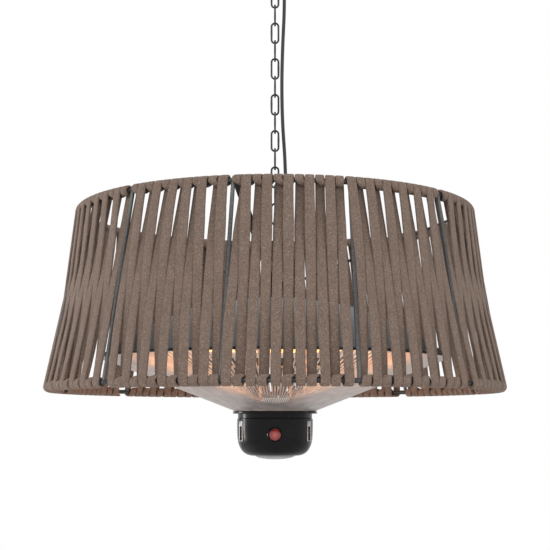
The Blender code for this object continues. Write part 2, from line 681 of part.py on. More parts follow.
def rope_panels(tape):
    for bay in range(BAYS):
        pitch, strands = (FRONT_STRAND_PITCH, FRONT_STRANDS) if bay == 0 else (STRAND_PITCH, STRANDS)
        middle = FIRST_STRUT_ANGLE + 360 * (bay + 0.5) / BAYS
        length = Tape(middle - pitch * (strands - 1) / 2, pitch, strands)
        length.wind()
        name = f"rope_panel_{bay + 1:02d}"
        add_object(name, length.mesh(name), tape, crease=50)
        if bay < 2:
            print(f"{name} keeps {length.least_gap() * 1000:.2f} mm clear of itself")


def shell(name, radius, height, base_z, shares, wall, bore, segments, material):
    """A spun sheet from its bore to its rim, with the wall inside the outline."""
    outline = [(bore, base_z + height)] + [(radius * out, base_z + height * up) for out, up in shares]
    item = lathe(name, outline, segments, material, closed=False)
    if sum(face.normal.z for face in item.data.polygons) < 0:
        item.data.flip_normals()
    solid = item.modifiers.new("Wall", "SOLIDIFY")
    solid.thickness = wall
    solid.offset = -1
    solid.use_even_offset = True
    return item


def reflector(paint):
    bowl = shell("reflector", REFLECTOR_RADIUS, REFLECTOR_HEIGHT, RIM_Z, REFLECTOR_PROFILE_SHARES, REFLECTOR_WALL,
                 SHANK_RADIUS + GAP, BIG_SEGMENTS, paint)
    centre = at(gland_angle(), GLAND_RADIUS_ON_REFLECTOR, 0)
    hole = cylinder_guide("gland_hole", GLAND_STEM_RADIUS + GAP, centre, REFLECTOR_TOP_Z - 2 * OVERRUN,
                          REFLECTOR_TOP_Z + OVERRUN, paint)
    join_with(bowl, hole, "DIFFERENCE")


def inner_surface_z(radius):
    """The height of the inner reflector's top face at a distance from the axis."""
    return INNER_RIM_Z + INNER_REFLECTOR_HEIGHT * share_at(INNER_PROFILE_SHARES, radius / INNER_REFLECTOR_RADIUS)


def element_z(radius):
    return inner_surface_z(radius) - ELEMENT_BELOW_REFLECTOR


def inner_reflector(polished):
    """The polished sheet behind the elements, with the straps that carry them welded on."""
    sheet = shell("inner_reflector", INNER_REFLECTOR_RADIUS, INNER_REFLECTOR_HEIGHT, INNER_RIM_Z,
                  INNER_PROFILE_SHARES, INNER_REFLECTOR_WALL, SHANK_RADIUS + GAP, POD_SEGMENTS, polished)
    straps = []
    for radius, away in ((OUTER_ELEMENT_RADIUS, OUTER_CERAMIC_ANGLE), (INNER_ELEMENT_RADIUS, INNER_CERAMIC_ANGLE)):
        for number in range(1, CRADLES + 1):
            angle = away + 360 * number / (CRADLES + 1)
            straps.append(cradle_mesh(radius, angle))
    join_with(sheet, add_object("cradles", merged(straps, "cradles"), polished), "UNION")


def cradle_mesh(radius, angle):
    """A strap that drops from the sheet beside a tube and turns under it."""
    turns = [math.radians(-45 * step) for step in range(4)]
    reach = (ELEMENT_TUBE_RADIUS + GAP + CRADLE_THICKNESS / 2) / math.cos(turns[1] / 2)
    z = element_z(radius)
    top = inner_surface_z(radius + reach) - INNER_REFLECTOR_WALL / 2
    line = [Vector((radius + reach, top))]
    line += [Vector((radius + reach * math.cos(turn), z + reach * math.sin(turn))) for turn in turns]
    stations = []
    for index, point in enumerate(line):
        before, after = line[max(index - 1, 0)], line[min(index + 1, len(line) - 1)]
        along = (after - before).normalized()
        half = Vector((-along.y, along.x)) * CRADLE_THICKNESS / 2
        side = tangent(angle) * CRADLE_WIDTH / 2
        far = at(angle, point.x + half.x, point.y + half.y)
        near = at(angle, point.x - half.x, point.y - half.y)
        stations.append([far - side, far + side, near + side, near - side])
    return sweep_mesh("cradle", stations)


def element_angles(radius, ceramic_angle):
    """Where the outlines along a tube stand, from one end round to the other; the straps meet it at outlines."""
    gap = math.degrees(CERAMIC_WALL / radius)
    steps = (CRADLES + 1) * 8
    return [ceramic_angle + gap / 2 + (360 - gap) * step / steps for step in range(steps + 1)]


def ring_tube_mesh(name, radius, tube_radius, angles):
    """A tube bent round the axis at an element's height."""
    turns = [math.tau * corner / WIRE_SIDES for corner in range(WIRE_SIDES)]
    z = element_z(radius)
    return sweep_mesh(name, [[at(angle, radius + tube_radius * math.cos(turn), z + tube_radius * math.sin(turn))
                              for turn in turns] for angle in angles])


def element(name, radius, ceramic_angle, quartz):
    """A tube bent almost into a ring; its two ends stand in the ceramic block."""
    add_object(name, ring_tube_mesh(name, radius, ELEMENT_TUBE_RADIUS, element_angles(radius, ceramic_angle)), quartz)


def ceramic(name, radius, angle, material):
    """A block under the inner reflector, with a socket on each side for a tube's end."""
    z = element_z(radius)
    half = CERAMIC_DEPTH / 2
    side = tangent(angle) * CERAMIC_WIDTH / 2
    stations = []
    for distance in (radius - half, radius + half):
        high = inner_surface_z(math.hypot(distance, CERAMIC_WIDTH / 2)) - INNER_REFLECTOR_WALL - 2 * GAP
        upper, lower = at(angle, distance, high), at(angle, distance, z - half)
        stations.append([upper - side, upper + side, lower + side, lower - side])
    block = add_object(name, sweep_mesh(name, stations), material)
    angles = element_angles(radius, angle)
    inset = (angles[0] - angle) / 2
    for side_name, run in (("one", [angle + inset, angles[1]]), ("two", [angles[-2] - 360, angle - inset])):
        bore = ring_tube_mesh("socket", radius, ELEMENT_TUBE_RADIUS + 2 * GAP, run)
        join_with(block, add_object(f"{name}_socket_{side_name}", bore, material), "DIFFERENCE")


def guard_marks():
    """The guard's two hoops as (radius, height): one just inside the reflector's rim, one on the flange."""
    top = Vector((REFLECTOR_RADIUS - REFLECTOR_WALL - GAP - GUARD_RING_ROD_RADIUS, RIM_Z + GUARD_RING_ROD_RADIUS))
    return top, Vector((GUARD_FOOT_RADIUS, FLANGE_Z + GUARD_RING_ROD_RADIUS + GAP))


def wire_guard(steel):
    """Fine wires from the rim to the pod's flange, welded to the middles of two hoops' facets."""
    marks = guard_marks()
    hoops = [lathe_mesh("guard_hoop", circle_profile(mark.x, mark.y, GUARD_RING_ROD_RADIUS, GUARD_SIDES), BIG_SEGMENTS)
             for mark in marks]
    guard = add_object("wire_guard", merged(hoops, "wire_guard"), steel)
    wires = []
    for number in range(BIG_SEGMENTS):
        angle = 360 * (number + 0.5) / BIG_SEGMENTS
        inset = math.cos(math.pi / BIG_SEGMENTS)
        points = [at(angle, mark.x * inset, mark.y) for mark in marks]
        wires.append(sweep_mesh("guard_wire", rod_stations(points, GUARD_WIRE_RADIUS, GUARD_SIDES, tangent(angle))))
    join_with(guard, add_object("guard_wires", merged(wires, "guard_wires"), steel), "UNION")


def post_angle(number):
    return FIRST_POST_ANGLE + 360 * number / POSTS


def support_posts(steel):
    """Rods that stand between the pod's flange and the flat middle of the inner reflector."""
    top = INNER_TOP_Z - INNER_REFLECTOR_WALL - GAP
    for number in range(POSTS):
        name = f"support_post_{number + 1}"
        post = lathe(name, [(0, FLANGE_Z + GAP), (POST_RADIUS, FLANGE_Z + GAP), (POST_RADIUS, top), (0, top)], 8,
                     steel, closed=False)
        post.location = at(post_angle(number), POST_CIRCLE_RADIUS, 0)


def pod_flange(black):
    """The flange that the guard and the posts stand on, with a neck and a spigot that fits into the pod."""
    under = FLANGE_Z - FLANGE_THICKNESS
    bottom = POD_TOP_Z + GAP
    spigot = POD_RADIUS - POD_WALL - GAP
    tip = POD_TOP_Z - SPIGOT_DEPTH
    profile = [(0, FLANGE_Z), (FLANGE_RADIUS, FLANGE_Z), (FLANGE_RADIUS, under), (NECK_RADIUS, under),
               (NECK_RADIUS, bottom), (spigot, bottom), (spigot, tip), (spigot - POD_WALL, tip),
               (spigot - POD_WALL, under), (0, under)]
    lathe("pod_flange", profile, POD_SEGMENTS, black, closed=False)


def pod_outline():
    return [(POD_RADIUS * out, POD_TOP_Z - POD_HEIGHT * down) for out, down in POD_PROFILE_SHARES]


def pod_radius_at(z):
    marks = pod_outline()
    for (wide, high), (narrow, low) in zip(marks, marks[1:]):
        if low <= z <= high:
            return wide + (narrow - wide) * (high - z) / (high - low)
    return marks[-1][0]


def receiver_z():
    return POD_TOP_Z - POD_HEIGHT * RECEIVER_SHARE


def side_clip_z():
    """The middle height of the clips at the pod's sides."""
    return POD_TOP_Z - SIDE_CLIP_BELOW_TOP - SIDE_CLIP_HEIGHT / 2


def box_mesh(name, width, depth, low, high, angle, radius):
    """A block whose middle stands at an angle and distance from the axis, facing outwards."""
    side = tangent(angle) * width / 2
    stations = []
    for distance in (radius - depth / 2, radius + depth / 2):
        upper, lower = at(angle, distance, high), at(angle, distance, low)
        stations.append([upper - side, upper + side, lower + side, lower - side])
    return sweep_mesh(name, stations)


def pod_body(black):
    """The pod: a moulded cup, open at the bottom for its lens, with a bore for the receiver and two clip pockets."""
    outer = pod_outline()
    inner = [(radius - POD_WALL, z) for radius, z in outer]
    inner[-2] = (inner[-2][0], inner[-2][1] + POD_WALL)
    inner[-1] = (LENS_RADIUS + GAP, inner[-1][1] + POD_WALL)
    foot = (LENS_RADIUS + GAP, outer[-1][1])
    body = lathe("pod_body", outer + [foot] + list(reversed(inner)), POD_SEGMENTS, black)
    bore = add_object("receiver_bore", receiver_rod(RECEIVER_RADIUS + BEZEL_WALL + GAP, -2 * POD_WALL, OVERRUN, 16),
                      black)
    join_with(body, bore, "DIFFERENCE")
    depth = SIDE_CLIP_DEPTH
    reach = pod_radius_at(side_clip_z())
    for name, way in (("left", -1), ("right", 1)):
        low = side_clip_z() - SIDE_CLIP_HEIGHT / 2 - GAP
        high = side_clip_z() + SIDE_CLIP_HEIGHT / 2 + GAP
        pocket = box_mesh(f"pocket_{name}", SIDE_CLIP_WIDTH + 2 * GAP, depth, low, high, way * SIDE_CLIP_ANGLE,
                          reach)
        join_with(body, add_object(f"pocket_{name}", pocket, black), "DIFFERENCE")


def receiver_rod(radius, inside, outside, sides):
    """A rod across the pod's front wall at the receiver; inside and outside are measured from the wall's face."""
    face = pod_radius_at(receiver_z())
    points = [at(0, face + inside, receiver_z()), at(0, face + outside, receiver_z())]
    return sweep_mesh("receiver_rod", rod_stations(points, radius, sides, Vector((0, 0, 1))))


def receiver(black, red):
    """The bezel that fills the bore, and the domed red lens in it."""
    bezel = add_object("receiver_bezel", receiver_rod(RECEIVER_RADIUS + BEZEL_WALL, -POD_WALL, RECEIVER_PROUD / 2, 16),
                       black)
    join_with(bezel, add_object("lens_bore", receiver_rod(RECEIVER_RADIUS + GAP, -2 * POD_WALL, OVERRUN, 16), black),
              "DIFFERENCE")
    face = pod_radius_at(receiver_z())
    centre = Vector((0, 0, receiver_z()))
    rows = [(RECEIVER_RADIUS, -POD_WALL)]
    rows += [(RECEIVER_RADIUS * wide, RECEIVER_PROUD * proud) for wide, proud in RECEIVER_DOME_SHARES]
    turns = [math.tau * step / 16 for step in range(16)]
    stations = []
    for radius, outside in rows:
        stations.append([centre + Vector((radius * math.cos(turn), -(face + outside), radius * math.sin(turn)))
                         for turn in turns])
    add_object("receiver_lens", sweep_mesh("receiver_lens", stations), red)


def bottom_lens(clear):
    """The shallow dome that closes the pod's foot, with a flange above the wall that holds it."""
    floor = POD_BOTTOM_Z + POD_WALL + GAP
    profile = [(0, floor + POD_WALL), (LENS_RADIUS + POD_WALL, floor + POD_WALL), (LENS_RADIUS + POD_WALL, floor),
               (LENS_RADIUS, floor), (LENS_RADIUS, POD_BOTTOM_Z)]
    profile += [(LENS_RADIUS * out, POD_BOTTOM_Z - LENS_DROP * down) for out, down in LENS_DOME_SHARES]
    profile.append((0, POD_BOTTOM_Z - LENS_DROP))
    lathe("bottom_lens", profile, 24, clear, closed=False)


def side_clips(silver):
    """Flat clips that lock the pod, one in each side pocket."""
    reach = pod_radius_at(side_clip_z()) - SIDE_CLIP_DEPTH / 2 + GAP + SIDE_CLIP_THICKNESS / 2
    low = side_clip_z() - SIDE_CLIP_HEIGHT / 2
    high = side_clip_z() + SIDE_CLIP_HEIGHT / 2
    for name, way in (("left", -1), ("right", 1)):
        clip = box_mesh(f"side_clip_{name}", SIDE_CLIP_WIDTH, SIDE_CLIP_THICKNESS, low, high, way * SIDE_CLIP_ANGLE,
                        reach)
        add_object(f"side_clip_{name}", clip, silver)


def control_board(green):
    """The round circuit board inside the pod, held against the spigot's edge."""
    top = POD_TOP_Z - SPIGOT_DEPTH - GAP
    radius = POD_RADIUS - POD_WALL - GAP
    lathe("control_board", [(0, top - BOARD_THICKNESS), (radius, top - BOARD_THICKNESS), (radius, top), (0, top)],
          POD_SEGMENTS, green, closed=False)


def build():
    clear_scene()
    steel = finish("black_steel", (0.03, 0.03, 0.033), 0.45, 0.8)
    plastic = finish("black_plastic", (0.02, 0.02, 0.022), 0.5, 0.0)
    gloss = finish("gloss_black", (0.012, 0.012, 0.014), 0.12, 0.0)
    rubber = finish("cable_rubber", (0.025, 0.025, 0.027), 0.55, 0.0)
    tape = finish("woven_tape", (0.235, 0.175, 0.140), 0.95, 0.0)
    paint = finish("grey_reflector", (0.17, 0.18, 0.18), 0.42, 0.7)
    polished = finish("polished_steel", (0.75, 0.73, 0.70), 0.15, 1.0)
    quartz = finish("glowing_quartz", (1.0, 0.55, 0.20), 0.1, 0.0)
    white = finish("ceramic", (0.82, 0.80, 0.75), 0.5, 0.0)
    chrome = finish("chromed_wire", (0.65, 0.62, 0.58), 0.25, 1.0)
    red = finish("red_lens", (0.55, 0.02, 0.02), 0.12, 0.0)
    clear = finish("frosted_lens", (0.75, 0.75, 0.74), 0.3, 0.0)
    green = finish("circuit_board", (0.03, 0.16, 0.06), 0.5, 0.0)
    ceiling_plate(steel)
    ceiling_hook(steel)
    ceiling_gland(plastic)
    chain(steel)
    cable_clip(plastic)
    cables(rubber)
    eye_bolt(steel)
    hex_nut("upper_nut", UPPER_NUT_Z, steel)
    hex_nut("lower_nut", LOWER_NUT_Z, steel)
    spacers(steel)
    hanger_spider(steel)
    shade_frame(steel)
    rope_panels(tape)
    reflector(paint)
    heater_gland(plastic)
    inner_reflector(polished)
    element("outer_element", OUTER_ELEMENT_RADIUS, OUTER_CERAMIC_ANGLE, quartz)
    element("inner_element", INNER_ELEMENT_RADIUS, INNER_CERAMIC_ANGLE, quartz)
    ceramic("outer_ceramic", OUTER_ELEMENT_RADIUS, OUTER_CERAMIC_ANGLE, white)
    ceramic("inner_ceramic", INNER_ELEMENT_RADIUS, INNER_CERAMIC_ANGLE, white)
    wire_guard(chrome)
    support_posts(chrome)
    pod_flange(gloss)
    pod_body(gloss)
    control_board(green)
    receiver(gloss, red)
    bottom_lens(clear)
    side_clips(chrome)


build()
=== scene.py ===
"""The looks of a hanging patio heater: a round infrared heater in a tape-wound lampshade, on a chain."""
import math

import bmesh
import bpy
from mathutils import Matrix, Vector


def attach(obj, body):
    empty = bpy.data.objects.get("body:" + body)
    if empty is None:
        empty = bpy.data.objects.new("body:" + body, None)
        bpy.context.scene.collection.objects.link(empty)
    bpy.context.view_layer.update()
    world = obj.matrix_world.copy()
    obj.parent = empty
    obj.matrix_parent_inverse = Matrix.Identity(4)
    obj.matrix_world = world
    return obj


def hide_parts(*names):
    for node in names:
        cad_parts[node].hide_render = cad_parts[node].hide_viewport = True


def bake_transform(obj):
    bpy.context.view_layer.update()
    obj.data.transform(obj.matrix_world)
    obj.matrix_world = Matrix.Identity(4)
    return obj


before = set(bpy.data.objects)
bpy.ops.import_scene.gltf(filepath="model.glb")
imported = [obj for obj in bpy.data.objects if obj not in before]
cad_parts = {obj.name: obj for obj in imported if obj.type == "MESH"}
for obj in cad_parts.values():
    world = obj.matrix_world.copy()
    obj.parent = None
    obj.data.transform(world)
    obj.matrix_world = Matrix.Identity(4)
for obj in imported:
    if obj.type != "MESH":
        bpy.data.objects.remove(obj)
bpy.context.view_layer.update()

# Fits
GAP = 0.0003
MERGE = 0.000001

# Ceiling fitting
PLATE_RADIUS = 0.045
PLATE_UNDERSIDE = -0.004
SCREW_CIRCLE_RADIUS = 0.034
SCREWS = 3
PLATE_EDGE = 0.0012
STEM_BORE_RADIUS = 0.0033
STEM_BORE_DEPTH = 0.0066
GLAND_BORE_RADIUS = 0.0045
GLAND_BORE_DEPTH = 0.012
HOOK_WIRE_RADIUS = 0.0025
HOOK_RING_RADIUS = 0.010
HOOK_RING_Z = -0.0225
HOOK_STEM_RADIUS = 0.003
HOOK_STEM_TOP = -0.001
HOOK_COLLAR_RADIUS = 0.0065
HOOK_COLLAR_HEIGHT = 0.002

# Chain
LINKS = 15
LINK_WIRE_RADIUS = 0.0013
LINK_WIDTH = 0.012
LINK_LENGTH = 0.0304
LINK_STEP = 0.0249
TOP_LINK_Z = -0.0423

# Cable, glands and clip
CABLE_RADIUS = 0.0023
CEILING_GLAND_X = 0.016
CEILING_CABLE_Z = -0.008
CLIP_X = 0.0127
CLIP_MIDDLE_Z = -0.0391
HEATER_CABLE_Z = -0.4532
GLAND_ANGLE = 123.6
GLAND_CIRCLE_RADIUS = 0.034
GLAND_RIBS = 6
GLAND_LENGTH = 0.022
GLAND_COLLAR_HEIGHT = 0.0036
GLAND_STEM_RADIUS = 0.0042
GLAND_STEM_LENGTH = 0.0015
CLIP_WALL = 0.0012
CLIP_DEPTH = 0.008
CLIP_HEIGHT = 0.006
CLIP_SPLIT = 0.0009
CABLE_TOP_SHARES = [(0, 0), (0.32, 0), (0.44, 0.12), (0.58, 0.45), (0.73, 0.85), (0.85, 1), (1, 1)]
CABLE_DROP_SHARES = [(0, 0), (0.021, 0), (0.075, -0.03), (0.173, -0.14), (0.27, -0.21), (0.356, -0.21),
                     (0.441, -0.14), (0.539, 0.02), (0.624, 0.11), (0.709, 0.22), (0.795, 0.43), (0.863, 0.68),
                     (0.912, 0.89), (0.951, 0.99), (0.972, 1), (1, 1)]
CABLE_SPACING = 0.004
CABLE_SIDES = 24

# Hanger
EYE_WIRE_RADIUS = 0.0025
EYE_RING_RADIUS = 0.010
EYE_RING_Z = -0.4107
EYE_COLLAR_RADIUS = 0.008
EYE_COLLAR_Z = -0.4249
EYE_COLLAR_HEIGHT = 0.0042
SHANK_RADIUS = 0.004
THREAD_PITCH = 0.00125
THREAD_DEPTH = 0.0004
NUT_WIDTH = 0.013
NUT_HEIGHT = 0.008
SPACER_RADIUS = 0.009
UPPER_SPACER = (-0.4569, -0.4363)
LOWER_SPACER = (-0.4767, -0.4587)
UPPER_NUT_Z = -0.4332
LOWER_NUT_Z = -0.4861
SHANK_FOOT_Z = -0.4881

# Spider and shade frame
ARMS = 4
ARM_WIDTH = 0.009
ARM_THICKNESS = 0.0025
ARM_OFFSET_ANGLE = 1.6
SPIDER_DISC_RADIUS = 0.022
SPIDER_Z = -0.4360
SHADE_TOP_Z = -0.3394
SHADE_HEIGHT = 0.2395
TOP_RING_RADIUS = 0.2562
BOTTOM_RING_RADIUS = 0.2922
RING_ROD_RADIUS = 0.003
STRUT_RADIUS = 0.0025
STRUT_TOP_LEAN = 0.8
STRUT_FOOT_LEAN = -0.3
WELD_BEAD_RADIUS = 0.0041
BAYS = 12
FIRST_STRUT_ANGLE = -11.4
BAY_ANGLE = 360 / BAYS
HOOP_STEPS = 144

# Tape
TAPE_THICKNESS = 0.003
TAPE_CLEARANCE = 0.0007
LEG_WIDTH = 0.0114
NARROW_LEG_WIDTH = 0.0109
LEG_BULGE = 0.0014
MIDDLE_WIDTH = 0.0112
LOBE_WIDTH = 0.0099
BOTTOM_LOBE_WIDTH = 0.0111
BETWEEN_PASSES = 0.0003
LOBE_AFTER_LEG = 2.17
LOBE_BESIDE_LEG = 2.55
WRAP_STEP = 15
LEG_STEPS = 14
UNEVEN_ANGLE = 0.16
UNEVEN_BAY_STEP = 2.7
UNEVEN_STRAND_STEP = 1.9
NEXT_STRAND_ANGLE = 4.9
TAPE_END_TURN = 75
# Each strand by its angle from the bay's first strut: at the top hoop, half way down and at the bottom hoop
FIRST_BAY = ([("rising", 3.9, 1.7, 1.15)]
             + [(way, top + 5.2 * turn, middle + 5.2 * turn, low + 5.2 * turn) for turn in range(5)
                for way, top, middle, low in (("falling", 4.3, 4.1, 3.8), ("rising", 7.5, 6.7, 6.35))])
LAST_BAY = [("rising", 2.4, 1.95, 3.3), ("falling", 5.2, 4.3, 5.1), ("rising", 7.3, 6.65, 7.5),
            ("falling", 10.3, 9.0, 10.1), ("rising", 12.25, 11.35, 12.0), ("falling", 15.15, 13.7, 15.1),
            ("rising", 17.2, 16.05, 16.8), ("falling", 19.1, 18.4, 19.9), ("rising", 21.2, 20.75, 21.75),
            ("falling", 23.0, 23.1, 24.3), ("rising", 26.5, 25.9, 26.3), ("falling", 28.4, 28.2, 28.8)]
SECOND_BAY = [(way, top + 4.97 * turn, middle + 4.8 * turn, low + 4.96 * turn) for turn in range(6)
              for way, top, middle, low in (("falling", 0.8, 1.85, 0.9), ("rising", 3.6, 4.25, 3.5))]
SECTION_SHARES = [(0.5, -0.2), (0.5, 0.2), (0.468, 0.4), (0.38, 0.5), (0.13, 0.53), (-0.13, 0.53), (-0.38, 0.5),
                  (-0.468, 0.4), (-0.5, 0.2), (-0.5, -0.2), (-0.468, -0.38), (-0.38, -0.47), (-0.13, -0.5),
                  (0.13, -0.5), (0.38, -0.47), (0.468, -0.38)]

# Reflectors and elements
REFLECTOR_RADIUS = 0.228
REFLECTOR_HEIGHT = 0.078
REFLECTOR_TOP_Z = -0.4572
RIM_Z = -0.5352
REFLECTOR_WALL = 0.0012
REFLECTOR_LIP = 0.0006
RIM_BEAD_RADIUS = 0.0011
RIM_ROLL_HEIGHT = 0.004
RIVETS = 8
FIRST_RIVET_ANGLE = 10
RIVET_CIRCLE_RADIUS = 0.040
REFLECTOR_PROFILE_SHARES = [(0.20, 1.0), (0.455, 0.86), (0.60, 0.71), (0.75, 0.51), (1.0, 0.05)]
INNER_REFLECTOR_RADIUS = 0.206
INNER_REFLECTOR_HEIGHT = 0.044
INNER_RIM_Z = -0.5210
INNER_REFLECTOR_WALL = 0.0008
INNER_PROFILE_SHARES = [(0.31, 1.0), (0.50, 0.86), (0.75, 0.53), (0.97, 0.06), (1.0, 0.0)]
# How strongly the coil lights what is round it, and how bright the camera sees it
CAST_GLOW = 11.0
SEEN_GLOW = 2.4
ELEMENT_TUBE_RADIUS = 0.005
OUTER_ELEMENT_RADIUS = 0.150
INNER_ELEMENT_RADIUS = 0.088
ELEMENT_BELOW_REFLECTOR = 0.016
OUTER_CERAMIC_ANGLE = 150.0
INNER_CERAMIC_ANGLE = 205.0
CERAMIC_WALL = 0.004
CRADLES = 3
CRADLE_WIDTH = 0.006
CRADLE_THICKNESS = 0.001

# Guard, posts and pod
GUARD_WIRES = 212
GUARD_WIRE_RADIUS = 0.00105
GUARD_ROD_RADIUS = 0.0014
GUARD_RIM_RADIUS = 0.2251
GUARD_FOOT_RADIUS = 0.0535
FLANGE_Z = -0.6027
FLANGE_RADIUS = 0.055
FLANGE_THICKNESS = 0.003
POSTS = 4
POST_RADIUS = 0.003
POST_CIRCLE_RADIUS = 0.045
FIRST_POST_ANGLE = 26.0
POST_TOP_Z = -0.4781
POST_FOOT_LENGTH = 0.008
NECK_RADIUS = 0.0485
POD_TOP_Z = -0.6122
POD_RADIUS = 0.0495
POD_HEIGHT = 0.0475
POD_BOTTOM_Z = POD_TOP_Z - POD_HEIGHT
POD_WALL = 0.002
POD_PROFILE_SHARES = [(1.0, 0.0), (1.0, 0.30), (0.985, 0.55), (0.94, 0.74), (0.85, 0.89), (0.74, 0.97), (0.64, 1.0)]
LENS_RADIUS = 0.026
LENS_DROP = 0.005
RECEIVER_RADIUS = 0.0075
RECEIVER_Z = POD_TOP_Z - 0.43 * POD_HEIGHT
RECEIVER_FACE = 0.0490
BEZEL_WALL = 0.0022
SIDE_CLIP_ANGLE = 62.0
SIDE_CLIP_WIDTH = 0.009
SIDE_CLIP_HEIGHT = 0.026
SIDE_CLIP_THICKNESS = 0.0016
SIDE_CLIP_DEPTH = 0.0025
SIDE_CLIP_Z = POD_TOP_Z - 0.0158

# The camera that the photograph's hoops and links were fitted with
CAMERA_DISTANCE = 1.6093
CAMERA_Z = -0.6194
CAMERA_PITCH = 96.96
CAMERA_LENS = 80.04
SENSOR_WIDTH = 36.0

# Studio: each lamp's name, place, target, width, height and watts
WORLD_LEVEL = 0.62
FLOOR_Z = -1.25
FLOOR_RADIUS = 2.4
LAMPS = [("key_lamp", (-1.2, -2.3, 0.5), (0, 0, -0.46), 1.6, 1.2, 24),
         ("fill_lamp", (1.7, -1.6, 0.5), (0, 0, -0.46), 1.4, 1.2, 15),
         ("side_lamp", (-1.5, 0.5, -0.62), (0, 0, -0.62), 0.14, 0.6, 7)]

# Hoop middles and the outline's heights
REACH = RING_ROD_RADIUS + TAPE_CLEARANCE + TAPE_THICKNESS / 2
WRAP_REACH = REACH + TAPE_THICKNESS / 2
SHADE_BOTTOM_Z = SHADE_TOP_Z - SHADE_HEIGHT
TOP_HOOP = Vector((TOP_RING_RADIUS, SHADE_TOP_Z - WRAP_REACH))
BOTTOM_HOOP = Vector((BOTTOM_RING_RADIUS, SHADE_BOTTOM_Z + WRAP_REACH))


def at(angle, radius, z):
    """The point at an angle from the front, a distance from the axis and a height."""
    turn = math.radians(angle)
    return Vector((radius * math.sin(turn), -radius * math.cos(turn), z))


def tangent(angle):
    turn = math.radians(angle)
    return Vector((math.cos(turn), math.sin(turn), 0))


def eased(points, steps):
    """More points on a smooth line through the given ones."""
    ends = [points[0] * 2 - points[1]] + points + [points[-1] * 2 - points[-2]]
    fine = []
    for index in range(1, len(ends) - 2):
        a, b, c, d = ends[index - 1:index + 3]
        for step in range(steps):
            t = step / steps
            fine.append((b * 2 + (c - a) * t + (a * 2 - b * 5 + c * 4 - d) * t ** 2
                         + (b * 3 - a - c * 3 + d) * t ** 3) / 2)
    fine.append(points[-1])
    return fine


# Camera, floor, world and lamps

def add_camera():
    data = bpy.data.cameras.new("camera")
    data.lens = CAMERA_LENS
    data.sensor_width = SENSOR_WIDTH
    camera = bpy.data.objects.new("camera", data)
    bpy.context.collection.objects.link(camera)
    camera.location = (0, -CAMERA_DISTANCE, CAMERA_Z)
    camera.rotation_euler = (math.radians(CAMERA_PITCH), 0, 0)
    bpy.context.scene.camera = camera


def seen_share(tree):
    """Is 1 where the camera, a reflection or glass looks at the backdrop."""
    path = named(tree, "ShaderNodeLightPath")
    seen = math_node(tree, "MAXIMUM", path.outputs["Is Camera Ray"], path.outputs["Is Glossy Ray"])
    return math_node(tree, "MAXIMUM", seen, path.outputs["Is Transmission Ray"])


def set_world(level):
    world = bpy.data.worlds.new("studio")
    bpy.context.scene.world = world
    world.use_nodes = True
    tree = world.node_tree
    room = tree.nodes["Background"]
    room.inputs["Color"].default_value = (0.97, 0.985, 1.0, 1.0)
    room.inputs["Strength"].default_value = level
    backdrop = tree.nodes.new("ShaderNodeBackground")
    backdrop.inputs["Color"].default_value = (1.0, 1.0, 1.0, 1.0)
    backdrop.inputs["Strength"].default_value = 1.0
    mixed = tree.nodes.new("ShaderNodeMixShader")
    tree.links.new(seen_share(tree), mixed.inputs[0])
    tree.links.new(room.outputs[0], mixed.inputs[1])
    tree.links.new(backdrop.outputs[0], mixed.inputs[2])
    tree.links.new(mixed.outputs[0], tree.nodes["World Output"].inputs["Surface"])


def add_lamp(name, place, target, width, height, watts):
    data = bpy.data.lights.new(name, "AREA")
    data.shape = "RECTANGLE"
    data.size = width
    data.size_y = height
    data.energy = watts
    lamp = bpy.data.objects.new(name, data)
    bpy.context.collection.objects.link(lamp)
    lamp.location = place
    lamp.rotation_euler = (Vector(target) - Vector(place)).to_track_quat("-Z", "Y").to_euler()


def add_floor(z):
    bpy.ops.mesh.primitive_circle_add(vertices=96, radius=FLOOR_RADIUS, fill_type="NGON", location=(0, 0, z))
    floor = bpy.context.object
    floor.name = "floor"
    material = bpy.data.materials.new("pale_floor")
    material.use_nodes = True
    shader = material.node_tree.nodes["Principled BSDF"]
    shader.inputs["Base Color"].default_value = (0.86, 0.86, 0.86, 1.0)
    shader.inputs["Roughness"].default_value = 0.7
    floor.data.materials.append(material)


# Cords

def route(start, end, shares):
    """The cable's smooth middle line between its two ends, read at even steps."""
    points = [Vector((start.x + (end.x - start.x) * across, start.y + (end.y - start.y) * across,
                      start.z + (end.z - start.z) * along)) for along, across in shares]
    fine = eased(points, 12)
    lengths = [0.0]
    for before, after in zip(fine, fine[1:]):
        lengths.append(lengths[-1] + (after - before).length)
    count = math.ceil(lengths[-1] / CABLE_SPACING)
    line = []
    for number in range(count + 1):
        wanted = lengths[-1] * number / count
        index = min(max(i for i, length in enumerate(lengths) if length <= wanted), len(fine) - 2)
        share = (wanted - lengths[index]) / (lengths[index + 1] - lengths[index])
        line.append(fine[index].lerp(fine[index + 1], min(share, 1.0)))
    return line, lengths[-1]


def mesh_piece(name, rings, lengths, widths):
    """A closed skin over a row of outlines, with its own map in metres: round the outline and along the run."""
    bm = bmesh.new()
    layer = bm.loops.layers.uv.new("run")
    rows = [[bm.verts.new(point) for point in ring] for ring in rings]
    sides = len(rings[0])
    for number, (row, following) in enumerate(zip(rows, rows[1:])):
        for index in range(sides):
            after = (index + 1) % sides
            face = bm.faces.new((row[index], row[after], following[after], following[index]))
            marks = ((index, number), (index + 1, number), (index + 1, number + 1), (index, number + 1))
            for loop, (across, along) in zip(face.loops, marks):
                loop[layer].uv = (widths[across], lengths[along])
    bm.faces.new(list(reversed(rows[0])))
    bm.faces.new(rows[-1])
    bmesh.ops.recalc_face_normals(bm, faces=bm.faces)
    mesh = bpy.data.meshes.new(name)
    bm.to_mesh(mesh)
    bm.free()
    item = bpy.data.objects.new(name, mesh)
    bpy.context.collection.objects.link(item)
    mesh.shade_smooth()
    mesh.set_sharp_from_angle(angle=math.radians(50))
    return item


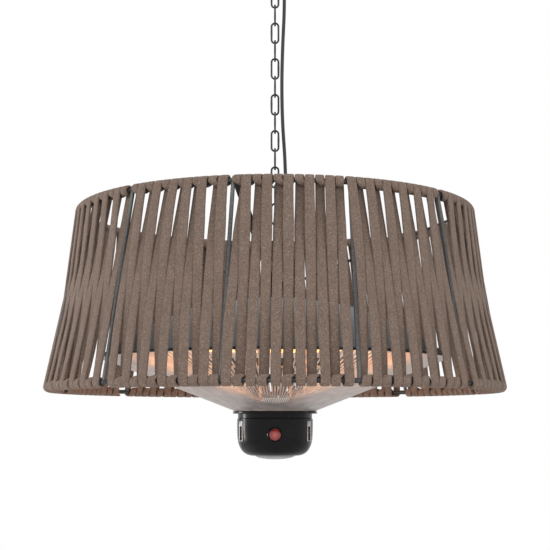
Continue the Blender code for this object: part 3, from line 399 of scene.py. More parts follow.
def cable(name, start, end, shares):
    line, length = route(start, end, shares)
    side = Vector((0, 1, 0))
    rings, lengths = [], [0.0]
    for index, point in enumerate(line):
        along = (line[min(index + 1, len(line) - 1)] - line[max(index - 1, 0)]).normalized()
        side = (side - along * along.dot(side)).normalized()
        up = along.cross(side)
        turns = [math.tau * step / CABLE_SIDES for step in range(CABLE_SIDES)]
        rings.append([point + (side * math.cos(turn) + up * math.sin(turn)) * CABLE_RADIUS for turn in turns])
        if index:
            lengths.append(lengths[-1] + (point - line[index - 1]).length)
    widths = [math.tau * CABLE_RADIUS * step / CABLE_SIDES for step in range(CABLE_SIDES + 1)]
    tube = mesh_piece(name, rings, lengths, widths)
    tube.data.materials.append(FINISHES["cable_rubber"])
    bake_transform(tube)
    return tube, line, length


def add_cables():
    """The mains cable: ceiling gland to clip, and clip to the heater's gland."""
    top_start = Vector((CEILING_GLAND_X, 0, CEILING_CABLE_Z))
    top_end = Vector((CLIP_X, 0, CLIP_MIDDLE_Z + GAP / 2))
    top, line, length = cable("mains_cable_top", top_start, top_end, CABLE_TOP_SHARES)
    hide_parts("cable_top")
    drop_start = Vector((CLIP_X, 0, CLIP_MIDDLE_Z - GAP / 2))
    drop_end = at(GLAND_ANGLE, GLAND_CIRCLE_RADIUS, HEATER_CABLE_Z)
    drop, line, length = cable("mains_cable_drop", drop_start, drop_end, CABLE_DROP_SHARES)
    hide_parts("cable_drop")


# Materials

def named(tree, kind, **settings):
    node = tree.nodes.new(kind)
    for key, value in settings.items():
        setattr(node, key, value)
    return node


def math_node(tree, operation, first, second=None, third=None):
    """A Math node fed by numbers or by other nodes' outputs."""
    node = named(tree, "ShaderNodeMath", operation=operation)
    for index, value in enumerate((first, second, third)):
        if value is None:
            continue
        if isinstance(value, (int, float)):
            node.inputs[index].default_value = value
        else:
            tree.links.new(value, node.inputs[index])
    return node.outputs[0]


def blended(tree, share, first, second):
    """A Mix node between two colours, each given as numbers or as an output."""
    node = named(tree, "ShaderNodeMix", data_type="RGBA")
    tree.links.new(share, node.inputs["Factor"])
    for socket, value in ((node.inputs[6], first), (node.inputs[7], second)):
        if isinstance(value, tuple):
            socket.default_value = (*value, 1.0)
        else:
            tree.links.new(value, socket)
    return node.outputs[2]


def noise(tree, vector, scale, detail=4.0, roughness=0.5):
    node = named(tree, "ShaderNodeTexNoise")
    if isinstance(scale, (int, float)):
        node.inputs["Scale"].default_value = scale
    else:
        tree.links.new(scale, node.inputs["Scale"])
    node.inputs["Detail"].default_value = detail
    node.inputs["Roughness"].default_value = roughness
    tree.links.new(vector, node.inputs["Vector"])
    return node.outputs["Fac"]


def split(tree, vector):
    """A vector's X, Y and Z."""
    node = named(tree, "ShaderNodeSeparateXYZ")
    tree.links.new(vector, node.inputs[0])
    return node.outputs


def ranged(tree, value, low, high, to_low=0.0, to_high=1.0):
    node = named(tree, "ShaderNodeMapRange")
    node.clamp = True
    tree.links.new(value, node.inputs["Value"])
    for name, number in (("From Min", low), ("From Max", high), ("To Min", to_low), ("To Max", to_high)):
        node.inputs[name].default_value = number
    return node.outputs["Result"]


def node_group(name, inputs, outputs):
    """An empty group with its sockets and its two end nodes."""
    group = bpy.data.node_groups.new(name, "ShaderNodeTree")
    for label, kind, value in inputs:
        group.interface.new_socket(label, in_out="INPUT", socket_type=kind).default_value = value
    for label, kind in outputs:
        group.interface.new_socket(label, in_out="OUTPUT", socket_type=kind)
    return group, group.nodes.new("NodeGroupInput"), group.nodes.new("NodeGroupOutput")


def placed(tree, group, **values):
    """A group in a material with its own values, given as numbers or outputs."""
    node = tree.nodes.new("ShaderNodeGroup")
    node.node_tree = group
    for label, value in values.items():
        socket = node.inputs[label.replace("_", " ").title()]
        if isinstance(value, (int, float)):
            socket.default_value = value
        else:
            tree.links.new(value, socket)
    return node


def edge_wear_group():
    """Rubbed edges: sharp corners of the mesh, broken up by a noise."""
    group, start, end = node_group("edge_wear", [("Scale", "NodeSocketFloat", 300.0),
                                                 ("Level", "NodeSocketFloat", 0.55)],
                                   [("Mask", "NodeSocketFloat")])
    shape = named(group, "ShaderNodeNewGeometry")
    place = named(group, "ShaderNodeTexCoord")
    rough = noise(group, place.outputs["Object"], start.outputs["Scale"], 6.0, 0.6)
    broken = math_node(group, "ADD", shape.outputs["Pointiness"], math_node(group, "MULTIPLY", rough, 0.12))
    over = math_node(group, "SUBTRACT", broken, start.outputs["Level"])
    mask = ranged(group, over, 0.03, 0.10)
    group.links.new(mask, end.inputs["Mask"])
    return group


def grain_group():
    """Fine grain and slow changes of tone, from object coordinates."""
    group, start, end = node_group("grain", [("Fine Scale", "NodeSocketFloat", 2200.0),
                                             ("Coarse Scale", "NodeSocketFloat", 60.0)],
                                   [("Fine", "NodeSocketFloat"), ("Coarse", "NodeSocketFloat")])
    place = named(group, "ShaderNodeTexCoord")
    group.links.new(noise(group, place.outputs["Object"], start.outputs["Fine Scale"], 3.0, 0.6), end.inputs["Fine"])
    group.links.new(noise(group, place.outputs["Object"], start.outputs["Coarse Scale"], 3.0, 0.5),
                    end.inputs["Coarse"])
    return group


def turning_marks_group():
    """Rings left by spinning sheet metal about the axis, as a height and a tone."""
    group, start, end = node_group("turning_marks", [("Ring Scale", "NodeSocketFloat", 900.0)],
                                   [("Rings", "NodeSocketFloat"), ("Tone", "NodeSocketFloat")])
    place = named(group, "ShaderNodeTexCoord")
    parts = split(group, place.outputs["Object"])
    across = math_node(group, "MULTIPLY", parts["X"], parts["X"])
    across = math_node(group, "MULTIPLY_ADD", parts["Y"], parts["Y"], across)
    radius = math_node(group, "SQRT", across)
    both = named(group, "ShaderNodeCombineXYZ")
    group.links.new(math_node(group, "MULTIPLY", radius, start.outputs["Ring Scale"]), both.inputs["X"])
    group.links.new(math_node(group, "MULTIPLY", parts["Z"], start.outputs["Ring Scale"]), both.inputs["Y"])
    group.links.new(noise(group, both.outputs[0], 1.0, 2.0, 0.6), end.inputs["Rings"])
    group.links.new(noise(group, place.outputs["Object"], 9.0, 3.0, 0.5), end.inputs["Tone"])
    return group


def weave_group():
    """A plain weave of twisted yarns on the piece's own map in metres: height, a tone for each crossing and fuzz."""
    group, start, end = node_group("weave", [("Yarns", "NodeSocketFloat", 850.0),
                                             ("Stray", "NodeSocketFloat", 0.0003)],
                                   [("Height", "NodeSocketFloat"), ("Crossing", "NodeSocketFloat"),
                                    ("Fuzz", "NodeSocketFloat"), ("Slow", "NodeSocketFloat")])
    run = named(group, "ShaderNodeUVMap", uv_map="run")
    stray = named(group, "ShaderNodeTexNoise")
    stray.inputs["Scale"].default_value = 420.0
    stray.inputs["Detail"].default_value = 2.0
    group.links.new(run.outputs[0], stray.inputs["Vector"])
    centred = named(group, "ShaderNodeVectorMath", operation="SUBTRACT")
    group.links.new(stray.outputs["Color"], centred.inputs[0])
    centred.inputs[1].default_value = (0.5, 0.5, 0.5)
    shift = named(group, "ShaderNodeVectorMath", operation="SCALE")
    group.links.new(centred.outputs[0], shift.inputs[0])
    group.links.new(start.outputs["Stray"], shift.inputs["Scale"])
    moved = named(group, "ShaderNodeVectorMath", operation="ADD")
    group.links.new(run.outputs[0], moved.inputs[0])
    group.links.new(shift.outputs[0], moved.inputs[1])
    parts = split(group, moved.outputs[0])
    across = math_node(group, "MULTIPLY", parts["X"], start.outputs["Yarns"])
    along = math_node(group, "MULTIPLY", parts["Y"], start.outputs["Yarns"])
    cells = [math_node(group, "FLOOR", across), math_node(group, "FLOOR", along)]
    parity = math_node(group, "PINGPONG", math_node(group, "ADD", *cells), 1.0)
    waves = []
    for value in (across, along):
        wave = math_node(group, "SINE", math_node(group, "MULTIPLY", value, math.pi))
        waves.append(math_node(group, "ABSOLUTE", wave))
    warp = math_node(group, "MULTIPLY", waves[0], math_node(group, "MULTIPLY_ADD", waves[1], 0.5, 0.5))
    weft = math_node(group, "MULTIPLY", waves[1], math_node(group, "MULTIPLY_ADD", waves[0], 0.5, 0.5))
    height = named(group, "ShaderNodeMix", data_type="FLOAT")
    group.links.new(parity, height.inputs["Factor"])
    group.links.new(warp, height.inputs[2])
    group.links.new(weft, height.inputs[3])
    group.links.new(height.outputs[0], end.inputs["Height"])
    cell = named(group, "ShaderNodeCombineXYZ")
    group.links.new(cells[0], cell.inputs["X"])
    group.links.new(cells[1], cell.inputs["Y"])
    chance = named(group, "ShaderNodeTexWhiteNoise", noise_dimensions="2D")
    group.links.new(cell.outputs[0], chance.inputs["Vector"])
    group.links.new(chance.outputs["Value"], end.inputs["Crossing"])
    group.links.new(noise(group, run.outputs[0], 2600.0, 2.0, 0.7), end.inputs["Fuzz"])
    group.links.new(noise(group, run.outputs[0], 45.0, 3.0, 0.6), end.inputs["Slow"])
    return group


def finish(name, roughness, metallic=0.0, **sockets):
    """A material whose shader has its constant values; the changing ones are linked by the caller."""
    material = bpy.data.materials.new(name)
    material.use_nodes = True
    tree = material.node_tree
    shader = tree.nodes["Principled BSDF"]
    shader.inputs["Roughness"].default_value = roughness
    shader.inputs["Metallic"].default_value = metallic
    for label, value in sockets.items():
        shader.inputs[label.replace("_", " ")].default_value = value
    FINISHES[name] = material
    return tree, shader


def bumped(tree, shader, height, distance, strength=1.0):
    node = named(tree, "ShaderNodeBump")
    node.inputs["Distance"].default_value = distance
    node.inputs["Strength"].default_value = strength
    tree.links.new(height, node.inputs["Height"])
    tree.links.new(node.outputs[0], shader.inputs["Normal"])


def woven_tape():
    tree, shader = finish("woven_tape", 0.92, Sheen_Weight=0.3, Sheen_Roughness=0.5,
                          Sheen_Tint=(0.72, 0.60, 0.52, 1.0), Specular_IOR_Level=0.2)
    weave = placed(tree, GROUPS["weave"], yarns=850.0, stray=0.0004)
    warm = blended(tree, ranged(tree, weave.outputs["Crossing"], 0.15, 0.75), (0.150, 0.102, 0.076),
                   (0.300, 0.218, 0.172))
    pale = ranged(tree, weave.outputs["Crossing"], 0.90, 0.94)
    flecked = blended(tree, pale, warm, (0.43, 0.335, 0.275))
    dark = ranged(tree, weave.outputs["Fuzz"], 0.33, 0.46)
    fibres = blended(tree, dark, (0.108, 0.072, 0.054), flecked)
    tone = ranged(tree, weave.outputs["Slow"], 0.3, 0.7)
    # Painted shade: the weave's low parts are coloured darker, as the shade that falls between the yarns.
    painted_weave_shade = ranged(tree, weave.outputs["Height"], 0.0, 0.45)
    shaded = blended(tree, painted_weave_shade, (0.098, 0.067, 0.050), fibres)
    slow = blended(tree, tone, (0.198, 0.138, 0.107), (0.252, 0.180, 0.143))
    mixed = named(tree, "ShaderNodeMix", data_type="RGBA")
    mixed.inputs["Factor"].default_value = 0.45
    tree.links.new(shaded, mixed.inputs[6])
    tree.links.new(slow, mixed.inputs[7])
    tree.links.new(mixed.outputs[2], shader.inputs["Base Color"])
    tree.links.new(ranged(tree, weave.outputs["Fuzz"], 0.2, 0.8, 0.82, 1.0), shader.inputs["Roughness"])
    height = math_node(tree, "MULTIPLY_ADD", weave.outputs["Fuzz"], 0.35, weave.outputs["Height"])
    bumped(tree, shader, height, 0.00035)


def coated_steel(name, colour, worn, roughness, grain_height, metallic):
    """Paint or powder on steel, with a fine skin, slow changes of gloss and rubbed edges."""
    tree, shader = finish(name, roughness, metallic)
    grain = placed(tree, GROUPS["grain"], fine_scale=1900.0, coarse_scale=70.0)
    wear = placed(tree, GROUPS["edge_wear"], scale=420.0, level=0.56)
    tone = blended(tree, ranged(tree, grain.outputs["Coarse"], 0.3, 0.7), tuple(part * 0.8 for part in colour),
                   tuple(part * 1.25 for part in colour))
    tree.links.new(blended(tree, wear.outputs["Mask"], tone, worn), shader.inputs["Base Color"])
    tree.links.new(ranged(tree, grain.outputs["Coarse"], 0.25, 0.75, roughness - 0.07, roughness + 0.09),
                   shader.inputs["Roughness"])
    bumped(tree, shader, grain.outputs["Fine"], grain_height, 0.6)


def gloss_black():
    tree, shader = finish("gloss_black", 0.2, Specular_IOR_Level=0.18)
    grain = placed(tree, GROUPS["grain"], fine_scale=900.0, coarse_scale=38.0)
    tree.links.new(blended(tree, ranged(tree, grain.outputs["Coarse"], 0.3, 0.7), (0.0035, 0.0035, 0.0045),
                           (0.007, 0.007, 0.008)), shader.inputs["Base Color"])
    smears = math_node(tree, "MULTIPLY", grain.outputs["Coarse"], grain.outputs["Fine"])
    tree.links.new(ranged(tree, smears, 0.12, 0.42, 0.16, 0.32), shader.inputs["Roughness"])
    bumped(tree, shader, grain.outputs["Coarse"], 0.00004, 0.5)


def black_plastic():
    tree, shader = finish("black_plastic", 0.5)
    grain = placed(tree, GROUPS["grain"], fine_scale=2600.0, coarse_scale=120.0)
    wear = placed(tree, GROUPS["edge_wear"], scale=600.0, level=0.57)
    tone = blended(tree, ranged(tree, grain.outputs["Fine"], 0.35, 0.65), (0.014, 0.014, 0.015),
                   (0.030, 0.030, 0.032))
    tree.links.new(blended(tree, wear.outputs["Mask"], tone, (0.075, 0.075, 0.078)), shader.inputs["Base Color"])
    tree.links.new(ranged(tree, grain.outputs["Coarse"], 0.3, 0.7, 0.42, 0.62), shader.inputs["Roughness"])
    bumped(tree, shader, grain.outputs["Fine"], 0.00006, 0.7)


def cable_rubber():
    tree, shader = finish("cable_rubber", 0.5, Specular_IOR_Level=0.4)
    run = named(tree, "ShaderNodeUVMap", uv_map="run")
    stretched = named(tree, "ShaderNodeMapping")
    stretched.inputs["Scale"].default_value = (2400.0, 90.0, 1.0)
    tree.links.new(run.outputs[0], stretched.inputs["Vector"])
    drawn = noise(tree, stretched.outputs[0], 1.0, 3.0, 0.6)
    scuffs = noise(tree, run.outputs[0], 190.0, 5.0, 0.65)
    tree.links.new(blended(tree, ranged(tree, scuffs, 0.52, 0.72), (0.019, 0.019, 0.020), (0.052, 0.050, 0.048)),
                   shader.inputs["Base Color"])
    tree.links.new(ranged(tree, scuffs, 0.3, 0.7, 0.38, 0.62), shader.inputs["Roughness"])
    bumped(tree, shader, drawn, 0.00005, 0.6)


def spun_metal(name, colour, dull, roughness, metallic, ring_scale, ring_height, rim_z=None, top_z=None):
    """Sheet spun about the axis: fine rings in its height, gloss and tone, and painted shade that darkens it towards
    a given rim.
    """
    tree, shader = finish(name, roughness, metallic)
    marks = placed(tree, GROUPS["turning_marks"], ring_scale=ring_scale)
    grain = placed(tree, GROUPS["grain"], fine_scale=1400.0, coarse_scale=24.0)
    tone = blended(tree, ranged(tree, marks.outputs["Tone"], 0.3, 0.7), dull, colour)
    stained = math_node(tree, "MULTIPLY", ranged(tree, grain.outputs["Coarse"], 0.55, 0.75), 0.35)
    tone = blended(tree, stained, tone, tuple(part * 0.62 for part in dull))
    if rim_z is not None:
        # Painted shade: the colour darkens from the top down to the rim, where the dome hangs in shade.
        place = named(tree, "ShaderNodeTexCoord")
        painted_rim_shade = ranged(tree, split(tree, place.outputs["Object"])["Z"], rim_z, top_z, 1.0, 0.0)
        tone = blended(tree, painted_rim_shade, tone, tuple(part * 0.34 for part in dull))
    tree.links.new(tone, shader.inputs["Base Color"])
    tree.links.new(ranged(tree, marks.outputs["Rings"], 0.25, 0.75, roughness - 0.06, roughness + 0.10),
                   shader.inputs["Roughness"])
    bumped(tree, shader, marks.outputs["Rings"], ring_height, 0.5)


def chromed_wire():
    tree, shader = finish("chromed_wire", 0.38, 0.6)
    grain = placed(tree, GROUPS["grain"], fine_scale=1800.0, coarse_scale=90.0)
    tree.links.new(blended(tree, ranged(tree, grain.outputs["Coarse"], 0.35, 0.7), (0.47, 0.425, 0.405),
                           (0.62, 0.565, 0.535)), shader.inputs["Base Color"])
    tree.links.new(ranged(tree, grain.outputs["Coarse"], 0.3, 0.75, 0.30, 0.46), shader.inputs["Roughness"])
    bumped(tree, shader, grain.outputs["Fine"], 0.00003, 0.5)


def glowing_quartz():
    """A coil glowing in a quartz tube: bright turns with darker orange between them."""
    tree, shader = finish("glowing_quartz", 0.12, Coat_Weight=0.5)
    light = named(tree, "ShaderNodeLightPath")
    tree.links.new(math_node(tree, "MULTIPLY_ADD", light.outputs["Is Camera Ray"], SEEN_GLOW - CAST_GLOW, CAST_GLOW),
                   shader.inputs["Emission Strength"])
    run = named(tree, "ShaderNodeUVMap", uv_map="run")
    parts = split(tree, run.outputs[0])
    slant = math_node(tree, "MULTIPLY", parts["X"], 200.0)
    wound = math_node(tree, "MULTIPLY_ADD", parts["Y"], 2100.0, slant)
    turns = ranged(tree, math_node(tree, "SINE", wound), -0.4, 0.8)
    heat = noise(tree, run.outputs[0], 14.0, 2.0, 0.5)
    cool = blended(tree, ranged(tree, heat, 0.35, 0.65), (0.95, 0.26, 0.05), (1.0, 0.38, 0.10))
    tree.links.new(blended(tree, turns, cool, (1.0, 0.66, 0.30)), shader.inputs["Emission Color"])
    tree.links.new(blended(tree, turns, (0.55, 0.20, 0.08), (0.90, 0.55, 0.28)), shader.inputs["Base Color"])
    tree.links.new(ranged(tree, heat, 0.3, 0.7, 0.08, 0.2), shader.inputs["Roughness"])
    bumped(tree, shader, turns, 0.00008, 0.4)


def white_ceramic():
    tree, shader = finish("white_ceramic", 0.55)
    grain = placed(tree, GROUPS["grain"], fine_scale=1500.0, coarse_scale=160.0)
    wear = placed(tree, GROUPS["edge_wear"], scale=500.0, level=0.56)
    tone = blended(tree, ranged(tree, grain.outputs["Coarse"], 0.4, 0.75), (0.78, 0.75, 0.68), (0.60, 0.52, 0.42))
    tree.links.new(blended(tree, wear.outputs["Mask"], tone, (0.50, 0.46, 0.40)), shader.inputs["Base Color"])
    tree.links.new(ranged(tree, grain.outputs["Fine"], 0.3, 0.7, 0.45, 0.7), shader.inputs["Roughness"])
    bumped(tree, shader, grain.outputs["Fine"], 0.00012, 0.6)


def red_lens():
    """Red moulded plastic over the receiver, with a painted highlight that makes its middle brighter."""
    tree, shader = finish("red_lens", 0.1, Coat_Weight=0.8, Coat_Roughness=0.03)
    place = named(tree, "ShaderNodeTexCoord")
    centred = named(tree, "ShaderNodeMapping")
    centred.inputs["Location"].default_value = (0.0, RECEIVER_FACE, -RECEIVER_Z)
    tree.links.new(place.outputs["Object"], centred.inputs["Vector"])
    away = named(tree, "ShaderNodeVectorMath", operation="LENGTH")
    tree.links.new(centred.outputs[0], away.inputs[0])
    # Painted highlight: the core mask is 1 in the lens's middle and fades outwards, so the middle is painted a
    # lighter red.
    core = ranged(tree, away.outputs["Value"], 0.0008, 0.0052, 1.0, 0.0)
    grain = placed(tree, GROUPS["grain"], fine_scale=1200.0, coarse_scale=500.0)
    patchy_painted_highlight = math_node(tree, "MULTIPLY", core, ranged(tree, grain.outputs["Coarse"], 0.3, 0.62, 0.45, 1.0))
    tree.links.new(blended(tree, patchy_painted_highlight, (0.30, 0.012, 0.012), (0.80, 0.115, 0.085)), shader.inputs["Base Color"])
    tree.links.new(ranged(tree, grain.outputs["Coarse"], 0.3, 0.7, 0.07, 0.18), shader.inputs["Roughness"])
    bumped(tree, shader, grain.outputs["Coarse"], 0.00005, 0.5)


def frosted_lens():
    tree, shader = finish("frosted_lens", 0.35, Transmission_Weight=0.15, Coat_Weight=0.3)
    grain = placed(tree, GROUPS["grain"], fine_scale=1600.0, coarse_scale=110.0)
    tree.links.new(blended(tree, ranged(tree, grain.outputs["Coarse"], 0.3, 0.7), (0.33, 0.33, 0.325),
                           (0.43, 0.43, 0.425)), shader.inputs["Base Color"])
    tree.links.new(ranged(tree, grain.outputs["Fine"], 0.3, 0.7, 0.26, 0.45), shader.inputs["Roughness"])
    bumped(tree, shader, grain.outputs["Fine"], 0.00005, 0.6)


def circuit_board():
    """Green lacquer over copper tracks, with tinned pads."""
    tree, shader = finish("circuit_board", 0.35, Coat_Weight=0.4)
    place = named(tree, "ShaderNodeTexCoord")
    tracks = named(tree, "ShaderNodeTexBrick")
    tracks.inputs["Scale"].default_value = 180.0
    tracks.inputs["Mortar Size"].default_value = 0.03
    tree.links.new(place.outputs["Object"], tracks.inputs["Vector"])
    pads = named(tree, "ShaderNodeTexVoronoi")
    pads.inputs["Scale"].default_value = 260.0
    tree.links.new(place.outputs["Object"], pads.inputs["Vector"])
    lacquer = blended(tree, tracks.outputs["Fac"], (0.016, 0.130, 0.045), (0.040, 0.240, 0.085))
    spots = ranged(tree, pads.outputs["Distance"], 0.16, 0.20, 1.0, 0.0)
    tree.links.new(blended(tree, spots, lacquer, (0.62, 0.60, 0.55)), shader.inputs["Base Color"])
    tree.links.new(spots, shader.inputs["Metallic"])
    tree.links.new(ranged(tree, pads.outputs["Distance"], 0.1, 0.6, 0.25, 0.45), shader.inputs["Roughness"])
    bumped(tree, shader, spots, 0.00010, 0.8)


FINISHES = {}
GROUPS = {"edge_wear": edge_wear_group(), "grain": grain_group(), "turning_marks": turning_marks_group(),
          "weave": weave_group()}
woven_tape()
coated_steel("black_steel", (0.017, 0.017, 0.019), (0.12, 0.115, 0.11), 0.48, 0.00007, 0.2)
gloss_black()
black_plastic()
cable_rubber()
spun_metal("grey_reflector", (0.270, 0.280, 0.285), (0.215, 0.225, 0.230), 0.46, 0.45, 700.0, 0.00004,
           RIM_Z, REFLECTOR_TOP_Z)
spun_metal("polished_steel", (0.86, 0.79, 0.74), (0.74, 0.66, 0.61), 0.30, 0.85, 1100.0, 0.00003)
chromed_wire()
glowing_quartz()
white_ceramic()
red_lens()
frosted_lens()
circuit_board()


# Workshop: the steps that every turned, bent or cut piece is made with

def deselect():
    bpy.ops.object.select_all(action="DESELECT")


def pick(item):
    """Selects one piece alone and makes it the active one."""
    deselect()
    item.select_set(True)
    bpy.context.view_layer.objects.active = item


def open_for_editing(item):
    pick(item)
    bpy.ops.object.mode_set(mode="EDIT")
    bpy.ops.mesh.select_mode(type="VERT")
    bpy.ops.mesh.select_all(action="DESELECT")


def select_verts(item, test):
    """Selects the corners whose place passes a test, in edit mode."""
    mesh = bmesh.from_edit_mesh(item.data)
    for vert in mesh.verts:
        vert.select_set(test(vert.co))
    bmesh.update_edit_mesh(item.data)


def tidy_mesh():
    """Merges doubles and turns all faces outwards, in edit mode, then leaves it."""
    bpy.ops.mesh.select_mode(type="VERT")
    bpy.ops.mesh.select_all(action="SELECT")
    bpy.ops.mesh.remove_doubles(threshold=MERGE)
    bpy.ops.mesh.normals_make_consistent(inside=False)
    bpy.ops.object.mode_set(mode="OBJECT")


def settle(item, name, crease=35):
    """Puts a piece's place into its mesh, names it and shades it."""
    pick(item)
    bpy.ops.object.transform_apply(location=True, rotation=True, scale=True)
    item.name = item.data.name = name
    bpy.ops.object.shade_smooth_by_angle(angle=math.radians(crease))
    return item


def apply_modifiers(item):
    pick(item)
    for modifier in list(item.modifiers):
        bpy.ops.object.modifier_apply(modifier=modifier.name)


def soften(item, width, segments=2, angle=40):
    """Rounds the piece's real edges."""
    modifier = item.modifiers.new("Edges", "BEVEL")
    modifier.width = width
    modifier.segments = segments
    modifier.limit_method = "ANGLE"
    modifier.angle_limit = math.radians(angle)
    modifier.use_clamp_overlap = True
    apply_modifiers(item)


def cut(item, cutter, operation="DIFFERENCE"):
    modifier = item.modifiers.new("Cut", "BOOLEAN")
    modifier.operation = operation
    modifier.solver = "EXACT"
    modifier.object = cutter
    apply_modifiers(item)
    bpy.data.objects.remove(cutter, do_unlink=True)


def drill(item, radius, depth, place, sides=32, turn=(0, 0, 0)):
    deselect()
    bpy.ops.mesh.primitive_cylinder_add(vertices=sides, radius=radius, depth=depth, location=place, rotation=turn)
    cut(item, bpy.context.object)


def joined(items, name):
    deselect()
    for item in items:
        item.select_set(True)
    bpy.context.view_layer.objects.active = items[0]
    bpy.ops.object.join()
    return settle(items[0], name)


def copied(item, name, matrix):
    """Another piece of the same shape, with its own mesh."""
    other = item.copy()
    other.data = item.data.copy()
    bpy.context.collection.objects.link(other)
    other.data.transform(matrix)
    other.name = other.data.name = name
    return other


def spun(name, profile, steps=96, centre=(0, 0), crease=35):
    """Draws a profile of (radius, height) corners by extruding a point, then spins it about an upright line."""
    radius, z = profile[0]
    deselect()
    bpy.ops.mesh.primitive_plane_add(size=GAP, location=(centre[0] + radius, centre[1], z))
    item = bpy.context.object
    bpy.ops.object.mode_set(mode="EDIT")
    bpy.ops.mesh.select_mode(type="VERT")
    bpy.ops.mesh.select_all(action="SELECT")
    bpy.ops.mesh.merge(type="CENTER")
    for before, after in zip(profile, profile[1:]):
        bpy.ops.mesh.extrude_region_move(TRANSFORM_OT_translate={"value": (after[0] - before[0], 0,
                                                                          after[1] - before[1])})
    bpy.ops.mesh.select_all(action="SELECT")
    bpy.ops.mesh.spin(steps=steps, angle=math.tau, center=(*centre, 0), axis=(0, 0, 1))
    tidy_mesh()
    return settle(item, name, crease)


def loop_profile(inner, outer, low, high):
    return [(inner, low), (outer, low), (outer, high), (inner, high), (inner, low)]


def bent_rod(name, points, radius, cyclic=False, resolution=3):
    """A round rod along a line, from a curve made a mesh."""
    curve = bpy.data.curves.new(name, "CURVE")
    curve.dimensions = "3D"
    curve.bevel_depth = radius
    curve.bevel_resolution = resolution
    curve.use_fill_caps = not cyclic
    spline = curve.splines.new("POLY")
    spline.points.add(len(points) - 1)
    for target, point in zip(spline.points, points):
        target.co = (*point, 1.0)
    spline.use_cyclic_u = cyclic
    item = bpy.data.objects.new(name, curve)
    bpy.context.collection.objects.link(item)
    pick(item)
    bpy.ops.object.convert(target="MESH")
    item = bpy.context.object
    open_for_editing(item)
    tidy_mesh()
    return settle(item, name, 50)


def hoop(name, radius, z, rod_radius, steps=HOOP_STEPS, sides=12, upright=False):
    """A ring of round wire, lying flat or standing across the front."""
    deselect()
    turn = (0, math.radians(90), 0) if upright else (0, 0, 0)
    bpy.ops.mesh.primitive_torus_add(major_radius=radius, minor_radius=rod_radius, major_segments=steps,
                                     minor_segments=sides, location=(0, 0, z), rotation=turn)
    return settle(bpy.context.object, name, 60)


def flat_bar(name, line, angle, width, thickness):
    """A flat bar bent along a line of (radius, height) marks, at an angle round the axis."""
    rings, lengths = [], [0.0]
    for index, mark in enumerate(line):
        along = (line[min(index + 1, len(line) - 1)] - line[max(index - 1, 0)]).normalized()
        half = Vector((-along.y, along.x)) * thickness / 2
        side = tangent(angle) * width / 2
        far = at(angle, mark.x + half.x, mark.y + half.y)
        near = at(angle, mark.x - half.x, mark.y - half.y)
        rings.append([far - side, far + side, near + side, near - side])
        if index:
            lengths.append(lengths[-1] + (mark - line[index - 1]).length)
    item = mesh_piece(name, rings, lengths, [0, width, width + thickness, 2 * width + thickness,
                                             2 * width + 2 * thickness])
    soften(item, thickness * 0.22, 2, 45)
    return settle(item, name)


def fit(item, body, slot, *nodes):
    """Gives a piece its finish, sets it on its body and hides the CAD nodes that it stands for."""
    item.data.materials.clear()
    item.data.materials.append(FINISHES[slot])
    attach(item, body)
    if nodes:
        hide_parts(*nodes)


# Woven tape

def wall():
    """The way down the shade's wall and the way out of it, as (radius, height)."""
    down = (BOTTOM_HOOP - TOP_HOOP).normalized()
    return down, Vector((-down.y, down.x))


def smooth(share):
    return share * share * (3 - 2 * share)


def room(first, second, radius, strand_width):
    """A lobe's width, or less where the two strands beside it leave less room."""
    return min(LOBE_WIDTH, math.radians(second - first) * radius - strand_width - BETWEEN_PASSES)


